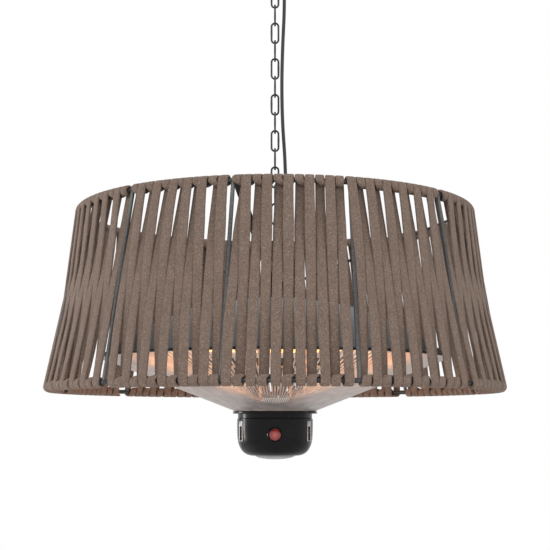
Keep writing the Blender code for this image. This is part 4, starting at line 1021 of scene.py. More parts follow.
class Tape:
    """One length of tape as it is wound: places of its middle, the way its face looks, its angle and its width."""

    def __init__(self, strands):
        self.places = []
        self.strands = strands
        self.tops = {way: [strand[1] for strand in strands if strand[0] == way] for way in ("falling", "rising")}
        self.lows = {way: [strand[3] for strand in strands if strand[0] == way] for way in ("falling", "rising")}

    def wrap(self, hoop_middle, turns, angles, widths):
        """Part of a turn about a hoop: 0 is in front of it, 90 below, 180 behind."""
        down, out = wall()
        face = 1 if hoop_middle is TOP_HOOP else -1
        steps = max(1, round(abs(turns[1] - turns[0]) / WRAP_STEP))
        for step in range(1, steps + 1):
            share = step / steps
            turn = math.radians(turns[0] + (turns[1] - turns[0]) * share)
            away = out * math.cos(turn) + down * math.sin(turn)
            ease = smooth(share)
            self.places.append((hoop_middle + away * REACH, away * face, angles[0] + (angles[1] - angles[0]) * ease,
                                widths[0] + (widths[1] - widths[0]) * ease))

    def strand(self, way, top, middle, low):
        """From the front of one hoop to the back of the other, and bowed a little where it passes its neighbours."""
        out = wall()[1]
        side = 1 if way == "falling" else -1
        high_end, low_end = TOP_HOOP + out * side * REACH, BOTTOM_HOOP - out * side * REACH
        along = (low_end - high_end).normalized()
        face = Vector((-along.y, along.x)) * side
        top_width = LEG_WIDTH if way == "falling" else NARROW_LEG_WIDTH
        steps = range(1, LEG_STEPS + 1) if way == "falling" else range(LEG_STEPS - 1, -1, -1)
        for step in steps:
            share = step / LEG_STEPS
            angle = (top * (1 - share) * (1 - 2 * share) + middle * 4 * share * (1 - share)
                     + low * share * (2 * share - 1))
            width = (top_width + (NARROW_LEG_WIDTH - top_width) * share
                     + LEG_BULGE * math.sin(2 * math.pi * share) ** 6)
            if 0.35 < share < 0.65:
                width = max(width, MIDDLE_WIDTH)
            self.places.append((high_end.lerp(low_end, share), face, angle, width))

    def over_the_top(self, number, last):
        """Behind the hoop, over it, a lobe in front, under it, behind it again, and over it to the front."""
        risen = self.tops["rising"][number]
        before = [angle for angle in self.tops["falling"] if angle < risen]
        after = [angle for angle in self.tops["falling"] if angle > risen]
        lobe, width = (before[-1] if before else after[0] - 2 * LOBE_BESIDE_LEG) + LOBE_BESIDE_LEG, LOBE_WIDTH
        if before and after:
            lobe = (before[-1] + after[0]) / 2
            width = room(before[-1], after[0], TOP_HOOP.x + REACH, LEG_WIDTH)
        self.wrap(TOP_HOOP, (180, 360), (risen, lobe), (NARROW_LEG_WIDTH, width))
        if last:
            self.wrap(TOP_HOOP, (360, 360 + TAPE_END_TURN), (lobe, lobe), (width, width))
            return
        following = (self.tops["rising"][number + 1:] + [risen + NEXT_STRAND_ANGLE])[0]
        behind = (risen + following) / 2
        narrow = room(risen, following, TOP_HOOP.x - REACH, NARROW_LEG_WIDTH)
        self.wrap(TOP_HOOP, (360, 540), (lobe, behind), (width, narrow))
        self.wrap(TOP_HOOP, (540, 720), (behind, after[0]), (narrow, LEG_WIDTH))

    def under_the_bottom(self, number, last):
        """Behind the hoop, under it, a lobe in front, over it, behind it again, and under it to the front."""
        fallen = self.lows["falling"][number]
        before = [angle for angle in self.lows["rising"] if angle < fallen + 1]
        after = [angle for angle in self.lows["rising"] if angle > fallen + 1]
        lobe = before[-1] + LOBE_AFTER_LEG if before else after[0] - LOBE_BESIDE_LEG
        self.wrap(BOTTOM_HOOP, (180, 0), (fallen, lobe), (NARROW_LEG_WIDTH, BOTTOM_LOBE_WIDTH))
        if last:
            self.wrap(BOTTOM_HOOP, (0, -TAPE_END_TURN), (lobe, lobe), (BOTTOM_LOBE_WIDTH, BOTTOM_LOBE_WIDTH))
            return
        following = (self.lows["falling"][number + 1:] + [fallen + NEXT_STRAND_ANGLE])[0]
        behind = (fallen + following) / 2
        self.wrap(BOTTOM_HOOP, (0, -180), (lobe, behind), (BOTTOM_LOBE_WIDTH, LOBE_WIDTH))
        self.wrap(BOTTOM_HOOP, (-180, -360), (behind, after[0]), (LOBE_WIDTH, NARROW_LEG_WIDTH))

    def wind(self):
        """Down, once and a half round the bottom hoop, up, and once and a half round the top one."""
        way, top, _, low = self.strands[0]
        if way == "falling":
            self.wrap(TOP_HOOP, (570, 720), (top, top), (LOBE_WIDTH, LEG_WIDTH))
        else:
            self.wrap(BOTTOM_HOOP, (-225, -360), (low, low), (LOBE_WIDTH, NARROW_LEG_WIDTH))
        done = {"falling": 0, "rising": 0}
        for number, strand in enumerate(self.strands):
            way = strand[0]
            self.strand(*strand)
            last = number == len(self.strands) - 1
            if way == "falling":
                self.under_the_bottom(done[way], last)
            else:
                self.over_the_top(done[way], last)
            done[way] += 1

    def piece(self, name):
        rings, lengths = [], [0.0]
        for number, (middle, face, angle, width) in enumerate(self.places):
            centre, side, out = at(angle, middle.x, middle.y), tangent(angle), at(angle, face.x, face.y)
            rings.append([centre + side * across * width + out * thick * TAPE_THICKNESS
                          for across, thick in SECTION_SHARES])
            if number:
                before = self.places[number - 1]
                lengths.append(lengths[-1] + (centre - at(before[2], before[0].x, before[0].y)).length)
        widths = [0.0]
        corners = [Vector((across * LEG_WIDTH, thick * TAPE_THICKNESS)) for across, thick in SECTION_SHARES]
        for before, after in zip(corners, corners[1:] + corners[:1]):
            widths.append(widths[-1] + (after - before).length)
        return mesh_piece(name, rings, lengths, widths)


def add_tape():
    for bay in range(BAYS):
        pattern = (FIRST_BAY, SECOND_BAY, LAST_BAY)[bay % 3]
        strut = FIRST_STRUT_ANGLE + BAY_ANGLE * bay
        strands = []
        for number, (way, *angles) in enumerate(pattern):
            uneven = 0
            if 1 < bay < BAYS - 1:
                uneven = UNEVEN_ANGLE * math.sin(bay * UNEVEN_BAY_STEP + number * UNEVEN_STRAND_STEP)
            strands.append((way, strut + angles[0] + uneven, strut + angles[1], strut + angles[2] + uneven))
        tape = Tape(strands)
        tape.wind()
        fit(tape.piece(f"tape_bay_{bay + 1:02d}"), "heater", "woven_tape", f"rope_panel_{bay + 1:02d}")


# Chain, hook and hanger

def add_chain():
    """One oval link with its weld, copied down the chain, each a quarter turn on."""
    bend = LINK_WIDTH / 2 - LINK_WIRE_RADIUS
    deselect()
    bpy.ops.mesh.primitive_torus_add(major_radius=bend, minor_radius=LINK_WIRE_RADIUS, major_segments=48,
                                     minor_segments=14, rotation=(math.radians(90), 0, 0))
    link = settle(bpy.context.object, "link", 60)
    stretch = LINK_LENGTH / 2 - LINK_WIDTH / 2
    for way in (1, -1):
        open_for_editing(link)
        select_verts(link, lambda place: place.z * way > MERGE)
        bpy.ops.transform.translate(value=(0, 0, way * stretch))
        bpy.ops.object.mode_set(mode="OBJECT")
    open_for_editing(link)
    select_verts(link, lambda place: abs(place.z) < MERGE and place.x > 0)
    bpy.ops.mesh.bevel(offset=LINK_WIRE_RADIUS, segments=3, affect="EDGES")
    bpy.ops.mesh.select_all(action="DESELECT")
    select_verts(link, lambda place: abs(place.z) < LINK_WIRE_RADIUS * 0.6 and place.x > 0)
    bpy.ops.transform.resize(value=(1.14, 1.14, 1), center_override=(bend, 0, 0))
    bpy.ops.object.mode_set(mode="OBJECT")
    for number in range(LINKS):
        place = Matrix.Translation((0, 0, TOP_LINK_Z - number * LINK_STEP)) @ Matrix.Rotation(
            math.radians(90 * (number % 2) + 180 * (number // 2 % 2)), 4, "Z")
        fit(copied(link, f"link_{number + 1:02d}", place), "chain", "black_steel", f"chain_link_{number + 1:02d}")
    bpy.data.objects.remove(link, do_unlink=True)


def thread_profile(radius, low, high):
    """A rod's outline with the ridges of a thread."""
    core = radius - THREAD_DEPTH
    marks = [(0, low), (core, low)]
    for turn in range(int((high - low) / THREAD_PITCH)):
        z = low + THREAD_PITCH * turn
        marks += [(core, z + THREAD_PITCH * 0.25), (radius, z + THREAD_PITCH * 0.75)]
    return marks + [(core, high), (0, high)]


def add_ceiling_fitting():
    """The bored plate with its cross-head screws, and the closed hook below it."""
    plate = spun("plate", [(0, PLATE_UNDERSIDE), (PLATE_RADIUS - PLATE_EDGE, PLATE_UNDERSIDE),
                           (PLATE_RADIUS, PLATE_UNDERSIDE + PLATE_EDGE), (PLATE_RADIUS, 0), (0, 0)])
    drill(plate, GLAND_BORE_RADIUS, GLAND_BORE_DEPTH, (CEILING_GLAND_X, 0, PLATE_UNDERSIDE))
    drill(plate, STEM_BORE_RADIUS, STEM_BORE_DEPTH, (0, 0, PLATE_UNDERSIDE))
    soften(plate, 0.0005)
    fit(settle(plate, "plate"), "ceiling_fitting", "black_steel", "ceiling_plate")
    low = PLATE_UNDERSIDE - 0.0016
    head = spun("screw", [(0, low), (0.0022, low), (0.0037, low + 0.0006), (0.0042, PLATE_UNDERSIDE),
                          (0.0022, PLATE_UNDERSIDE), (0.0022, 0), (0, 0)], 32)
    for turn in (0, 90):
        deselect()
        bpy.ops.mesh.primitive_cube_add(size=1, location=(0, 0, low), rotation=(0, 0, math.radians(turn)),
                                        scale=(0.0046, 0.0009, 0.0014))
        cut(head, bpy.context.object)
    settle(head, "screw")
    for number in range(SCREWS):
        place = Matrix.Translation(at(180 + 360 * number / SCREWS, SCREW_CIRCLE_RADIUS, 0))
        fit(copied(head, f"plate_screw_{number + 1}", place @ Matrix.Rotation(number, 4, "Z")), "ceiling_fitting",
            "chromed_wire")
    bpy.data.objects.remove(head, do_unlink=True)
    ring = hoop("hook_ring", HOOK_RING_RADIUS, HOOK_RING_Z, HOOK_WIRE_RADIUS, 64, 20, upright=True)
    foot, collar = HOOK_RING_Z + HOOK_RING_RADIUS, PLATE_UNDERSIDE - GAP
    under = collar - HOOK_COLLAR_HEIGHT
    stem = spun("hook_stem", [(0, foot), (HOOK_STEM_RADIUS, foot), (HOOK_STEM_RADIUS, under),
                              (HOOK_COLLAR_RADIUS, under), (HOOK_COLLAR_RADIUS, collar),
                              (HOOK_STEM_RADIUS, collar), (HOOK_STEM_RADIUS, HOOK_STEM_TOP), (0, HOOK_STEM_TOP)], 40)
    soften(stem, 0.0004)
    fit(joined([ring, stem], "hook"), "ceiling_fitting", "black_steel", "ceiling_hook")


def gland(name, face_z, way, centre, body, node):
    """A cable gland: hexagon on its face, and a ribbed boot that tapers along the cable."""
    bore = CABLE_RADIUS + GAP / 3
    profile = [(bore, -GLAND_STEM_LENGTH), (GLAND_STEM_RADIUS, -GLAND_STEM_LENGTH), (GLAND_STEM_RADIUS, GAP),
               (0.0075, GAP), (0.0075, 0.003), (0.0064, GLAND_COLLAR_HEIGHT)]
    boot = GLAND_LENGTH - GLAND_COLLAR_HEIGHT
    step = boot / GLAND_RIBS
    for rib in range(GLAND_RIBS):
        share = rib / GLAND_RIBS
        z = GLAND_COLLAR_HEIGHT + boot * share
        radius = 0.0060 - 0.0022 * share
        profile += [(radius, z + step * 0.15), (radius, z + step * 0.6), (radius - 0.0009, z + step * 0.7),
                    (radius - 0.0010, z + step)]
    profile += [(bore, GLAND_LENGTH), (bore, -GLAND_STEM_LENGTH)]
    item = spun(name, [(radius, face_z + way * z) for radius, z in profile], 40, centre)
    soften(item, 0.00025, 1, 50)
    deselect()
    bpy.ops.mesh.primitive_cylinder_add(vertices=6, radius=0.0084, depth=0.0028,
                                        location=(*centre, face_z + way * 0.0017))
    nut = bpy.context.object
    drill(nut, 0.0070, 0.02, (*centre, face_z), 40)
    soften(nut, 0.0003)
    fit(joined([item, nut], name), body, "black_plastic", node)


def add_clip():
    """The block that snaps over the top link's side and holds the cable, with a split in its cable side."""
    left = LINK_WIDTH / 2 - 2 * LINK_WIRE_RADIUS - GAP - CLIP_WALL
    right = CLIP_X + CABLE_RADIUS + GAP + CLIP_WALL
    deselect()
    bpy.ops.mesh.primitive_cube_add(size=1, location=((left + right) / 2, 0, CLIP_MIDDLE_Z),
                                    scale=(right - left, CLIP_DEPTH, CLIP_HEIGHT))
    clip = settle(bpy.context.object, "clip")
    soften(clip, CLIP_WALL, 4)
    for x, radius in ((LINK_WIDTH / 2 - LINK_WIRE_RADIUS, LINK_WIRE_RADIUS), (CLIP_X, CABLE_RADIUS)):
        drill(clip, radius + GAP / 3, 0.02, (x, 0, CLIP_MIDDLE_Z), 36)
    deselect()
    bpy.ops.mesh.primitive_cube_add(size=1, location=(right, 0, CLIP_MIDDLE_Z), scale=(0.004, CLIP_SPLIT, 0.02))
    cut(clip, bpy.context.object)
    fit(settle(clip, "clip"), "chain", "black_plastic", "cable_clip")


def hex_nut(name, low, node):
    """Six flats, turned off at both faces, with a bore."""
    half, high = NUT_WIDTH / 2, low + NUT_HEIGHT
    corner = half / math.cos(math.radians(30))
    chamfer = corner - half
    deselect()
    bpy.ops.mesh.primitive_cylinder_add(vertices=6, radius=corner, depth=NUT_HEIGHT,
                                        location=(0, 0, low + NUT_HEIGHT / 2), rotation=(0, 0, math.radians(30)))
    nut = bpy.context.object
    face, wide = half - chamfer / 4, corner + chamfer / 8
    barrel = spun("barrel", [(0, low), (face, low), (wide, low + chamfer * 0.75), (wide, high - chamfer * 0.75),
                             (face, high), (0, high)], 48)
    cut(nut, barrel, "INTERSECT")
    drill(nut, SHANK_RADIUS + GAP / 3, NUT_HEIGHT * 3, (0, 0, low))
    soften(nut, NUT_HEIGHT * 0.03, 1, 25)
    fit(settle(nut, name, 25), "heater", "black_steel", node)


def add_hanger():
    """The eye bolt, its two nuts and the turned spacers between the sheets."""
    ring = hoop("eye_ring", EYE_RING_RADIUS, EYE_RING_Z, EYE_WIRE_RADIUS, 64, 20, upright=True)
    top = EYE_COLLAR_Z + EYE_COLLAR_HEIGHT
    collar = spun("eye_collar", [(0, EYE_COLLAR_Z), (EYE_COLLAR_RADIUS, EYE_COLLAR_Z),
                                 (EYE_COLLAR_RADIUS, EYE_COLLAR_Z + EYE_COLLAR_HEIGHT * 0.55),
                                 (EYE_COLLAR_RADIUS * 0.62, top), (0, top)], 48)
    soften(collar, 0.0004)
    shank = spun("eye_shank", thread_profile(SHANK_RADIUS, SHANK_FOOT_Z, EYE_COLLAR_Z), 28)
    fit(joined([ring, collar, shank], "eye_bolt_turned"), "heater", "black_steel", "eye_bolt")
    hex_nut("nut_above_spider", UPPER_NUT_Z, "upper_nut")
    hex_nut("nut_below_reflectors", LOWER_NUT_Z, "lower_nut")
    bore, edge = SHANK_RADIUS + GAP, SPACER_RADIUS * 0.88
    for name, node, (low, high) in (("spacer_above", "spacer_upper", UPPER_SPACER),
                                    ("spacer_between", "spacer_lower", LOWER_SPACER)):
        middle = spun(name, [(bore, low), (SPACER_RADIUS, low), (SPACER_RADIUS, low + 0.002), (edge, low + 0.0028),
                             (edge, high - 0.0028), (SPACER_RADIUS, high - 0.002), (SPACER_RADIUS, high),
                             (bore, high), (bore, low)], 56)
        soften(middle, 0.0003)
        fit(settle(middle, name), "heater", "black_steel", node)


def add_spider():
    """A washer and four flat arms that rise to the top hoop and are welded inside it."""
    disc = spun("disc", loop_profile(SHANK_RADIUS + GAP, SPIDER_DISC_RADIUS, SPIDER_Z, SPIDER_Z + ARM_THICKNESS), 72)
    soften(disc, 0.0004)
    pieces = [disc]
    start = Vector((SPIDER_DISC_RADIUS - 0.007, SPIDER_Z + ARM_THICKNESS / 2))
    bend = Vector((SPIDER_DISC_RADIUS + 0.002, SPIDER_Z + ARM_THICKNESS / 2))
    rise = (TOP_HOOP - bend).normalized()
    end = TOP_HOOP - rise * (RING_ROD_RADIUS - GAP)
    line = [start, bend.lerp(start, 0.4), bend + (end - bend) * 0.02]
    line += [bend + (end - bend) * share for share in (0.05, 0.3, 0.6, 0.9, 1)]
    for number in range(ARMS):
        angle = FIRST_STRUT_ANGLE + ARM_OFFSET_ANGLE + 360 * number / ARMS
        pieces.append(flat_bar("arm", line, angle, ARM_WIDTH, ARM_THICKNESS))
    fit(joined(pieces, "spider_pressed"), "heater", "black_steel", "hanger_spider")


def add_shade_frame():
    """Two hoops and twelve struts, with a bead of weld at each end."""
    pieces = [hoop("top_hoop", TOP_HOOP.x, TOP_HOOP.y, RING_ROD_RADIUS),
              hoop("bottom_hoop", BOTTOM_HOOP.x, BOTTOM_HOOP.y, RING_ROD_RADIUS)]
    ends = [at(STRUT_TOP_LEAN, TOP_HOOP.x, TOP_HOOP.y), at(STRUT_FOOT_LEAN, BOTTOM_HOOP.x, BOTTOM_HOOP.y)]
    beads = [bent_rod("strut", [ends[0].lerp(ends[1], step / 6) for step in range(7)], STRUT_RADIUS)]
    for mark in ends:
        deselect()
        bpy.ops.mesh.primitive_uv_sphere_add(segments=16, ring_count=10, radius=WELD_BEAD_RADIUS, location=mark,
                                             scale=(0.9, 0.85, 0.8))
        beads.append(settle(bpy.context.object, "bead", 60))
    strut = joined(beads, "strut_welded")
    for number in range(BAYS):
        turn = Matrix.Rotation(math.radians(FIRST_STRUT_ANGLE + BAY_ANGLE * number), 4, "Z")
        pieces.append(copied(strut, f"strut_{number}", turn))
    bpy.data.objects.remove(strut, do_unlink=True)
    fit(joined(pieces, "shade_frame_welded"), "heater", "black_steel", "shade_frame")


# Reflectors and elements

def sheet_profile(radius, height, base_z, shares, wall_thickness, bore):
    """A spun sheet's outline from its bore down to its rim and back up inside."""
    marks = [Vector((bore, base_z + height)), Vector((radius * shares[0][0] * 0.8, base_z + height))]
    marks += eased([Vector((radius * out, base_z + height * up)) for out, up in shares], 5)
    inside = []
    for index, mark in enumerate(marks):
        along = (marks[min(index + 1, len(marks) - 1)] - marks[max(index - 1, 0)]).normalized()
        inside.append(mark + Vector((along.y, -along.x)) * wall_thickness)
    return marks, inside


def add_reflector():
    """The grey dome with its rim rolled into a bead, and the rivets round its hanger."""
    wall_radius, bead = REFLECTOR_RADIUS - REFLECTOR_LIP, RIM_BEAD_RADIUS
    outer, inner = sheet_profile(wall_radius, REFLECTOR_HEIGHT, RIM_Z, REFLECTOR_PROFILE_SHARES,
                                 REFLECTOR_WALL, SHANK_RADIUS + GAP)
    rim = [Vector((wall_radius, RIM_Z + RIM_ROLL_HEIGHT))]
    for step in range(10):
        turn = math.radians(120 - 40 * step)
        rim.append(Vector((REFLECTOR_RADIUS - bead + bead * math.cos(turn), RIM_Z + bead + bead * math.sin(turn))))
    rim.append(Vector((wall_radius - REFLECTOR_WALL, RIM_Z + RIM_ROLL_HEIGHT)))
    profile = outer[:-1] + rim + list(reversed(inner[:-1]))
    bowl = spun("reflector_spun", [tuple(mark) for mark in profile + profile[:1]], 144, crease=30)
    drill(bowl, GLAND_BORE_RADIUS, 0.01, at(GLAND_ANGLE, GLAND_CIRCLE_RADIUS, REFLECTOR_TOP_Z))
    fit(settle(bowl, "reflector_spun", 30), "heater", "grey_reflector", "reflector")
    head = spun("rivet", [(0, 0.0016), (0.0012, 0.0014), (0.0022, 0.0008), (0.0027, 0), (0.0027, -0.0006),
                          (0, -0.0006)], 24)
    rivets = []
    for number in range(RIVETS):
        spot = at(360 * number / RIVETS + FIRST_RIVET_ANGLE, RIVET_CIRCLE_RADIUS, REFLECTOR_TOP_Z)
        rivets.append(copied(head, f"rivet_{number}", Matrix.Translation(spot)))
    bpy.data.objects.remove(head, do_unlink=True)
    fit(joined(rivets, "reflector_rivets"), "heater", "grey_reflector")


def inner_surface_z(radius):
    marks = [(INNER_REFLECTOR_RADIUS * out, INNER_RIM_Z + INNER_REFLECTOR_HEIGHT * up) for out, up in
             INNER_PROFILE_SHARES]
    if radius <= marks[0][0]:
        return marks[0][1]
    for (near, high), (far, low) in zip(marks, marks[1:]):
        if radius <= far:
            return high + (low - high) * (radius - near) / (far - near)
    return marks[-1][1]


def element_z(radius):
    return inner_surface_z(radius) - ELEMENT_BELOW_REFLECTOR


def add_inner_reflector():
    """The polished sheet with a rolled rim, and the straps that carry the two tubes."""
    outer, inner = sheet_profile(INNER_REFLECTOR_RADIUS, INNER_REFLECTOR_HEIGHT, INNER_RIM_Z, INNER_PROFILE_SHARES,
                                 INNER_REFLECTOR_WALL, SHANK_RADIUS + GAP)
    profile = outer + list(reversed(inner))
    pieces = [spun("sheet", [tuple(mark) for mark in profile + profile[:1]], 144, crease=30)]
    reach = ELEMENT_TUBE_RADIUS + GAP + CRADLE_THICKNESS / 2
    for radius, away in ((OUTER_ELEMENT_RADIUS, OUTER_CERAMIC_ANGLE), (INNER_ELEMENT_RADIUS, INNER_CERAMIC_ANGLE)):
        z = element_z(radius)
        top = inner_surface_z(radius + reach) - INNER_REFLECTOR_WALL
        line = [Vector((radius + reach, top))]
        for turn in range(0, 181, 15):
            angle = math.radians(-turn)
            line.append(Vector((radius + reach * math.cos(angle), z + reach * math.sin(angle))))
        for number in range(1, CRADLES + 1):
            angle = away + 360 * number / (CRADLES + 1)
            pieces.append(flat_bar("strap", line, angle, CRADLE_WIDTH, CRADLE_THICKNESS))
    fit(joined(pieces, "inner_reflector_spun"), "heater", "polished_steel", "inner_reflector")


def add_elements():
    """Quartz tubes bent almost into rings, with a map along them for the coil's turns."""
    for name, radius, away, ceramic in (("outer", OUTER_ELEMENT_RADIUS, OUTER_CERAMIC_ANGLE, "outer_ceramic"),
                                        ("inner", INNER_ELEMENT_RADIUS, INNER_CERAMIC_ANGLE, "inner_ceramic")):
        open_angle = math.degrees(CERAMIC_WALL / radius)
        steps, sides = 128, 16
        rings, lengths = [], []
        for step in range(steps + 1):
            angle = away + open_angle / 2 + (360 - open_angle) * step / steps
            rings.append([at(angle, radius + ELEMENT_TUBE_RADIUS * math.cos(math.tau * side / sides),
                             element_z(radius) + ELEMENT_TUBE_RADIUS * math.sin(math.tau * side / sides))
                          for side in range(sides)])
            lengths.append(math.tau * radius * step / steps)
        widths = [math.tau * ELEMENT_TUBE_RADIUS * side / sides for side in range(sides + 1)]
        tube = mesh_piece(f"{name}_quartz_tube", rings, lengths, widths)
        fit(tube, "heater", "glowing_quartz", f"{name}_element")
        block = copied(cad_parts[ceramic], f"{name}_ceramic_block", Matrix.Identity(4))
        block.parent = None
        for key in list(block.keys()):
            if key.startswith("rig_"):
                del block[key]
        open_for_editing(block)
        bpy.ops.mesh.select_all(action="SELECT")
        bpy.ops.mesh.remove_doubles(threshold=MERGE)
        bpy.ops.mesh.dissolve_limited(angle_limit=math.radians(1))
        bpy.ops.object.mode_set(mode="OBJECT")
        soften(block, 0.0008, 3, 50)
        fit(settle(block, f"{name}_ceramic_block"), "heater", "white_ceramic", ceramic)


# Guard, posts and pod

def add_guard():
    """Fine wires from the rim hoop to the foot hoop: one wire, spun into all of them."""
    high = at(0, GUARD_RIM_RADIUS, RIM_Z + GUARD_ROD_RADIUS)
    low = at(0, GUARD_FOOT_RADIUS, FLANGE_Z + GUARD_ROD_RADIUS + GAP)
    run = high - low
    deselect()
    bpy.ops.mesh.primitive_cylinder_add(vertices=6, radius=GUARD_WIRE_RADIUS, depth=run.length,
                                        location=(high + low) / 2, rotation=run.to_track_quat("Z", "X").to_euler())
    wires = settle(bpy.context.object, "wires", 80)
    open_for_editing(wires)
    bpy.ops.mesh.select_all(action="SELECT")
    bpy.ops.mesh.spin(steps=GUARD_WIRES, dupli=True, angle=math.tau, center=(0, 0, 0), axis=(0, 0, 1))
    tidy_mesh()
    pieces = [wires, hoop("rim_hoop", GUARD_RIM_RADIUS, RIM_Z + GUARD_ROD_RADIUS, GUARD_ROD_RADIUS, 180, 10),
              hoop("foot_hoop", GUARD_FOOT_RADIUS, FLANGE_Z + GUARD_ROD_RADIUS + GAP, GUARD_ROD_RADIUS, 120, 10)]
    fit(joined(pieces, "guard_welded"), "heater", "chromed_wire", "wire_guard")


def add_posts():
    """Turned posts, thicker at both ends than between them."""
    low, top, slim = FLANGE_Z + GAP, POST_TOP_Z, POST_RADIUS * 0.8
    profile = [(0, low), (POST_RADIUS, low), (POST_RADIUS, low + POST_FOOT_LENGTH),
               (slim, low + POST_FOOT_LENGTH + 0.001), (slim, top - POST_FOOT_LENGTH - 0.001),
               (POST_RADIUS, top - POST_FOOT_LENGTH), (POST_RADIUS, top), (0, top)]
    for number in range(1, POSTS + 1):
        centre = at(FIRST_POST_ANGLE + 360 * (number - 1) / POSTS, POST_CIRCLE_RADIUS, 0)
        post = spun(f"post_{number}", profile, 28, centre[:2])
        soften(post, 0.0003)
        fit(settle(post, f"post_{number}"), "heater", "chromed_wire", f"support_post_{number}")


def pod_outline():
    marks = [Vector((POD_RADIUS * out, POD_TOP_Z - POD_HEIGHT * down)) for out, down in POD_PROFILE_SHARES]
    return marks[:1] + eased(marks[1:], 5)


def pod_radius_at(z):
    marks = pod_outline()
    for before, after in zip(marks, marks[1:]):
        if after.y <= z <= before.y:
            return before.x + (after.x - before.x) * (before.y - z) / (before.y - after.y)
    return marks[-1].x


def facing_block(width, depth, height, angle, radius, z):
    """A block whose middle stands at an angle and distance from the axis, facing outwards."""
    deselect()
    bpy.ops.mesh.primitive_cube_add(size=1, location=at(angle, radius, z), scale=(width, depth, height),
                                    rotation=(0, 0, math.radians(angle)))
    return bpy.context.object


def add_pod():
    """The flange with the spigot below it, and the cup with its round window and two side pockets."""
    under = FLANGE_Z - FLANGE_THICKNESS
    spigot = POD_RADIUS - POD_WALL - GAP
    tip = POD_TOP_Z - 0.004
    neck_foot = POD_TOP_Z + GAP
    flange = spun("flange", [(0, FLANGE_Z), (FLANGE_RADIUS, FLANGE_Z), (FLANGE_RADIUS, under), (NECK_RADIUS, under),
                             (NECK_RADIUS, neck_foot), (spigot, neck_foot), (spigot, tip),
                             (spigot - POD_WALL, tip), (spigot - POD_WALL, under), (0, under)], 120)
    soften(flange, 0.0006, 3)
    fit(settle(flange, "flange"), "heater", "gloss_black", "pod_flange")
    outer = pod_outline()
    inner = [mark - Vector((POD_WALL, 0)) for mark in outer]
    inner = [Vector((mark.x, max(mark.y, POD_BOTTOM_Z + POD_WALL))) for mark in inner if mark.x > LENS_RADIUS + GAP]
    foot = [Vector((LENS_RADIUS + GAP, POD_BOTTOM_Z)), Vector((LENS_RADIUS + GAP, POD_BOTTOM_Z + POD_WALL))]
    profile = outer + foot + list(reversed(inner))
    body = spun("cup", [tuple(mark) for mark in profile + profile[:1]], 120)
    drill(body, RECEIVER_RADIUS + BEZEL_WALL + GAP, 0.012, (0, -RECEIVER_FACE, RECEIVER_Z), 64,
          (math.radians(90), 0, 0))
    for way in (-1, 1):
        angle = way * SIDE_CLIP_ANGLE
        cut(body, facing_block(SIDE_CLIP_WIDTH + 2 * GAP, SIDE_CLIP_DEPTH, SIDE_CLIP_HEIGHT + 2 * GAP, angle,
                               pod_radius_at(SIDE_CLIP_Z), SIDE_CLIP_Z))
    soften(body, 0.0005, 2, 45)
    fit(settle(body, "cup"), "heater", "gloss_black", "pod_body")


def facing_spin(name, profile):
    """Spins a profile about the receiver's axis: its height runs forwards from the pod's front face."""
    item = spun(name, profile, 64)
    place = Matrix.Translation((0, -RECEIVER_FACE, RECEIVER_Z))
    item.data.transform(place @ Matrix.Rotation(math.radians(90), 4, "X"))
    return settle(item, name)


def add_receiver():
    """A bevelled ring and the shallow red dome inside it."""
    outer, bore = RECEIVER_RADIUS + BEZEL_WALL, RECEIVER_RADIUS + GAP
    bezel = facing_spin("bezel", [(bore, -POD_WALL), (outer, -POD_WALL), (outer, 0.0004), (outer - 0.0005, 0.0011),
                                  (RECEIVER_RADIUS + 0.0007, 0.0009), (bore, 0), (bore, -POD_WALL)])
    soften(bezel, 0.0002)
    fit(settle(bezel, "bezel"), "heater", "gloss_black", "receiver_bezel")
    dome = [(0, -POD_WALL), (RECEIVER_RADIUS, -POD_WALL), (RECEIVER_RADIUS, 0.0)]
    for step in range(1, 9):
        turn = math.radians(11.25 * step)
        dome.append((RECEIVER_RADIUS * math.cos(turn), 0.0012 * math.sin(turn)))
    fit(facing_spin("receiver_dome", dome), "heater", "red_lens", "receiver_lens")


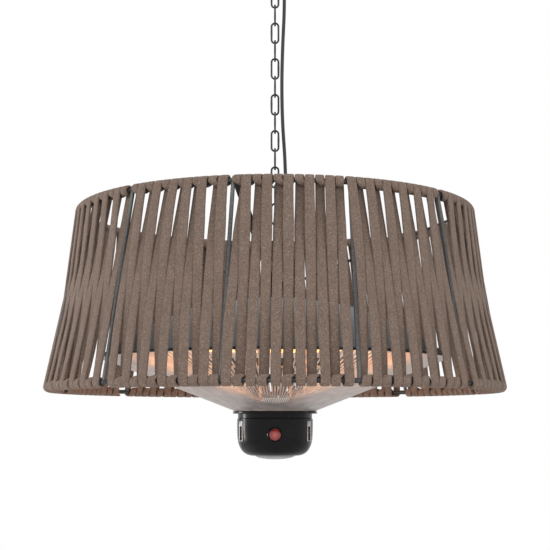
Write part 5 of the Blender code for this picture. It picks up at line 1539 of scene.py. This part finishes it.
def add_bottom_lens():
    """A shallow dome with fine rings, held by a flange above the cup's foot."""
    floor = POD_BOTTOM_Z + POD_WALL + GAP
    profile = [(0, floor + POD_WALL), (LENS_RADIUS + POD_WALL, floor + POD_WALL), (LENS_RADIUS + POD_WALL, floor),
               (LENS_RADIUS, floor), (LENS_RADIUS, POD_BOTTOM_Z)]
    rings = 14
    for ring in range(1, rings + 1):
        turn = math.radians(90 * ring / rings)
        groove = 0.00018 if ring % 2 and ring < rings else 0.0
        profile.append((max(LENS_RADIUS * math.cos(turn), 0), POD_BOTTOM_Z - LENS_DROP * math.sin(turn) + groove))
    profile[-1] = (0, POD_BOTTOM_Z - LENS_DROP)
    fit(spun("foot_dome", profile, 96, crease=60), "heater", "frosted_lens", "bottom_lens")


def add_side_clips():
    """Flat clips with a wide head and a slot below it, one in each side pocket."""
    reach = pod_radius_at(SIDE_CLIP_Z) - SIDE_CLIP_DEPTH / 2 + GAP + SIDE_CLIP_THICKNESS / 2
    for name, way in (("left", -1), ("right", 1)):
        angle = way * SIDE_CLIP_ANGLE
        clip = facing_block(SIDE_CLIP_WIDTH, SIDE_CLIP_THICKNESS, SIDE_CLIP_HEIGHT, angle, reach, SIDE_CLIP_Z)
        slot = facing_block(SIDE_CLIP_WIDTH * 0.72, 3 * SIDE_CLIP_THICKNESS, SIDE_CLIP_HEIGHT * 0.70, angle, reach,
                            SIDE_CLIP_Z - SIDE_CLIP_HEIGHT * 0.12)
        cut(clip, slot)
        soften(clip, 0.0004)
        fit(settle(clip, f"clip_{name}"), "heater", "chromed_wire", f"side_clip_{name}")


def dress_board():
    """The hidden circuit board keeps its CAD shape and gets its lacquer."""
    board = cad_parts["control_board"]
    board.data.materials.clear()
    board.data.materials.append(FINISHES["circuit_board"])


add_camera()
add_cables()
bpy.context.scene.view_settings.view_transform = "Standard"
set_world(WORLD_LEVEL)
for lamp in LAMPS:
    add_lamp(*lamp)
add_floor(FLOOR_Z)
add_tape()
add_chain()
add_ceiling_fitting()
gland("gland_at_ceiling", PLATE_UNDERSIDE, -1, (CEILING_GLAND_X, 0), "ceiling_fitting", "ceiling_gland")
heater_gland = at(GLAND_ANGLE, GLAND_CIRCLE_RADIUS, 0)
gland("gland_at_heater", REFLECTOR_TOP_Z, 1, (heater_gland.x, heater_gland.y), "heater", "heater_gland")
add_clip()
add_hanger()
add_spider()
add_shade_frame()
add_reflector()
add_inner_reflector()
add_elements()
add_guard()
add_posts()
add_pod()
add_receiver()
add_bottom_lens()
add_side_clips()
dress_board()

bpy.context.view_layer.update()
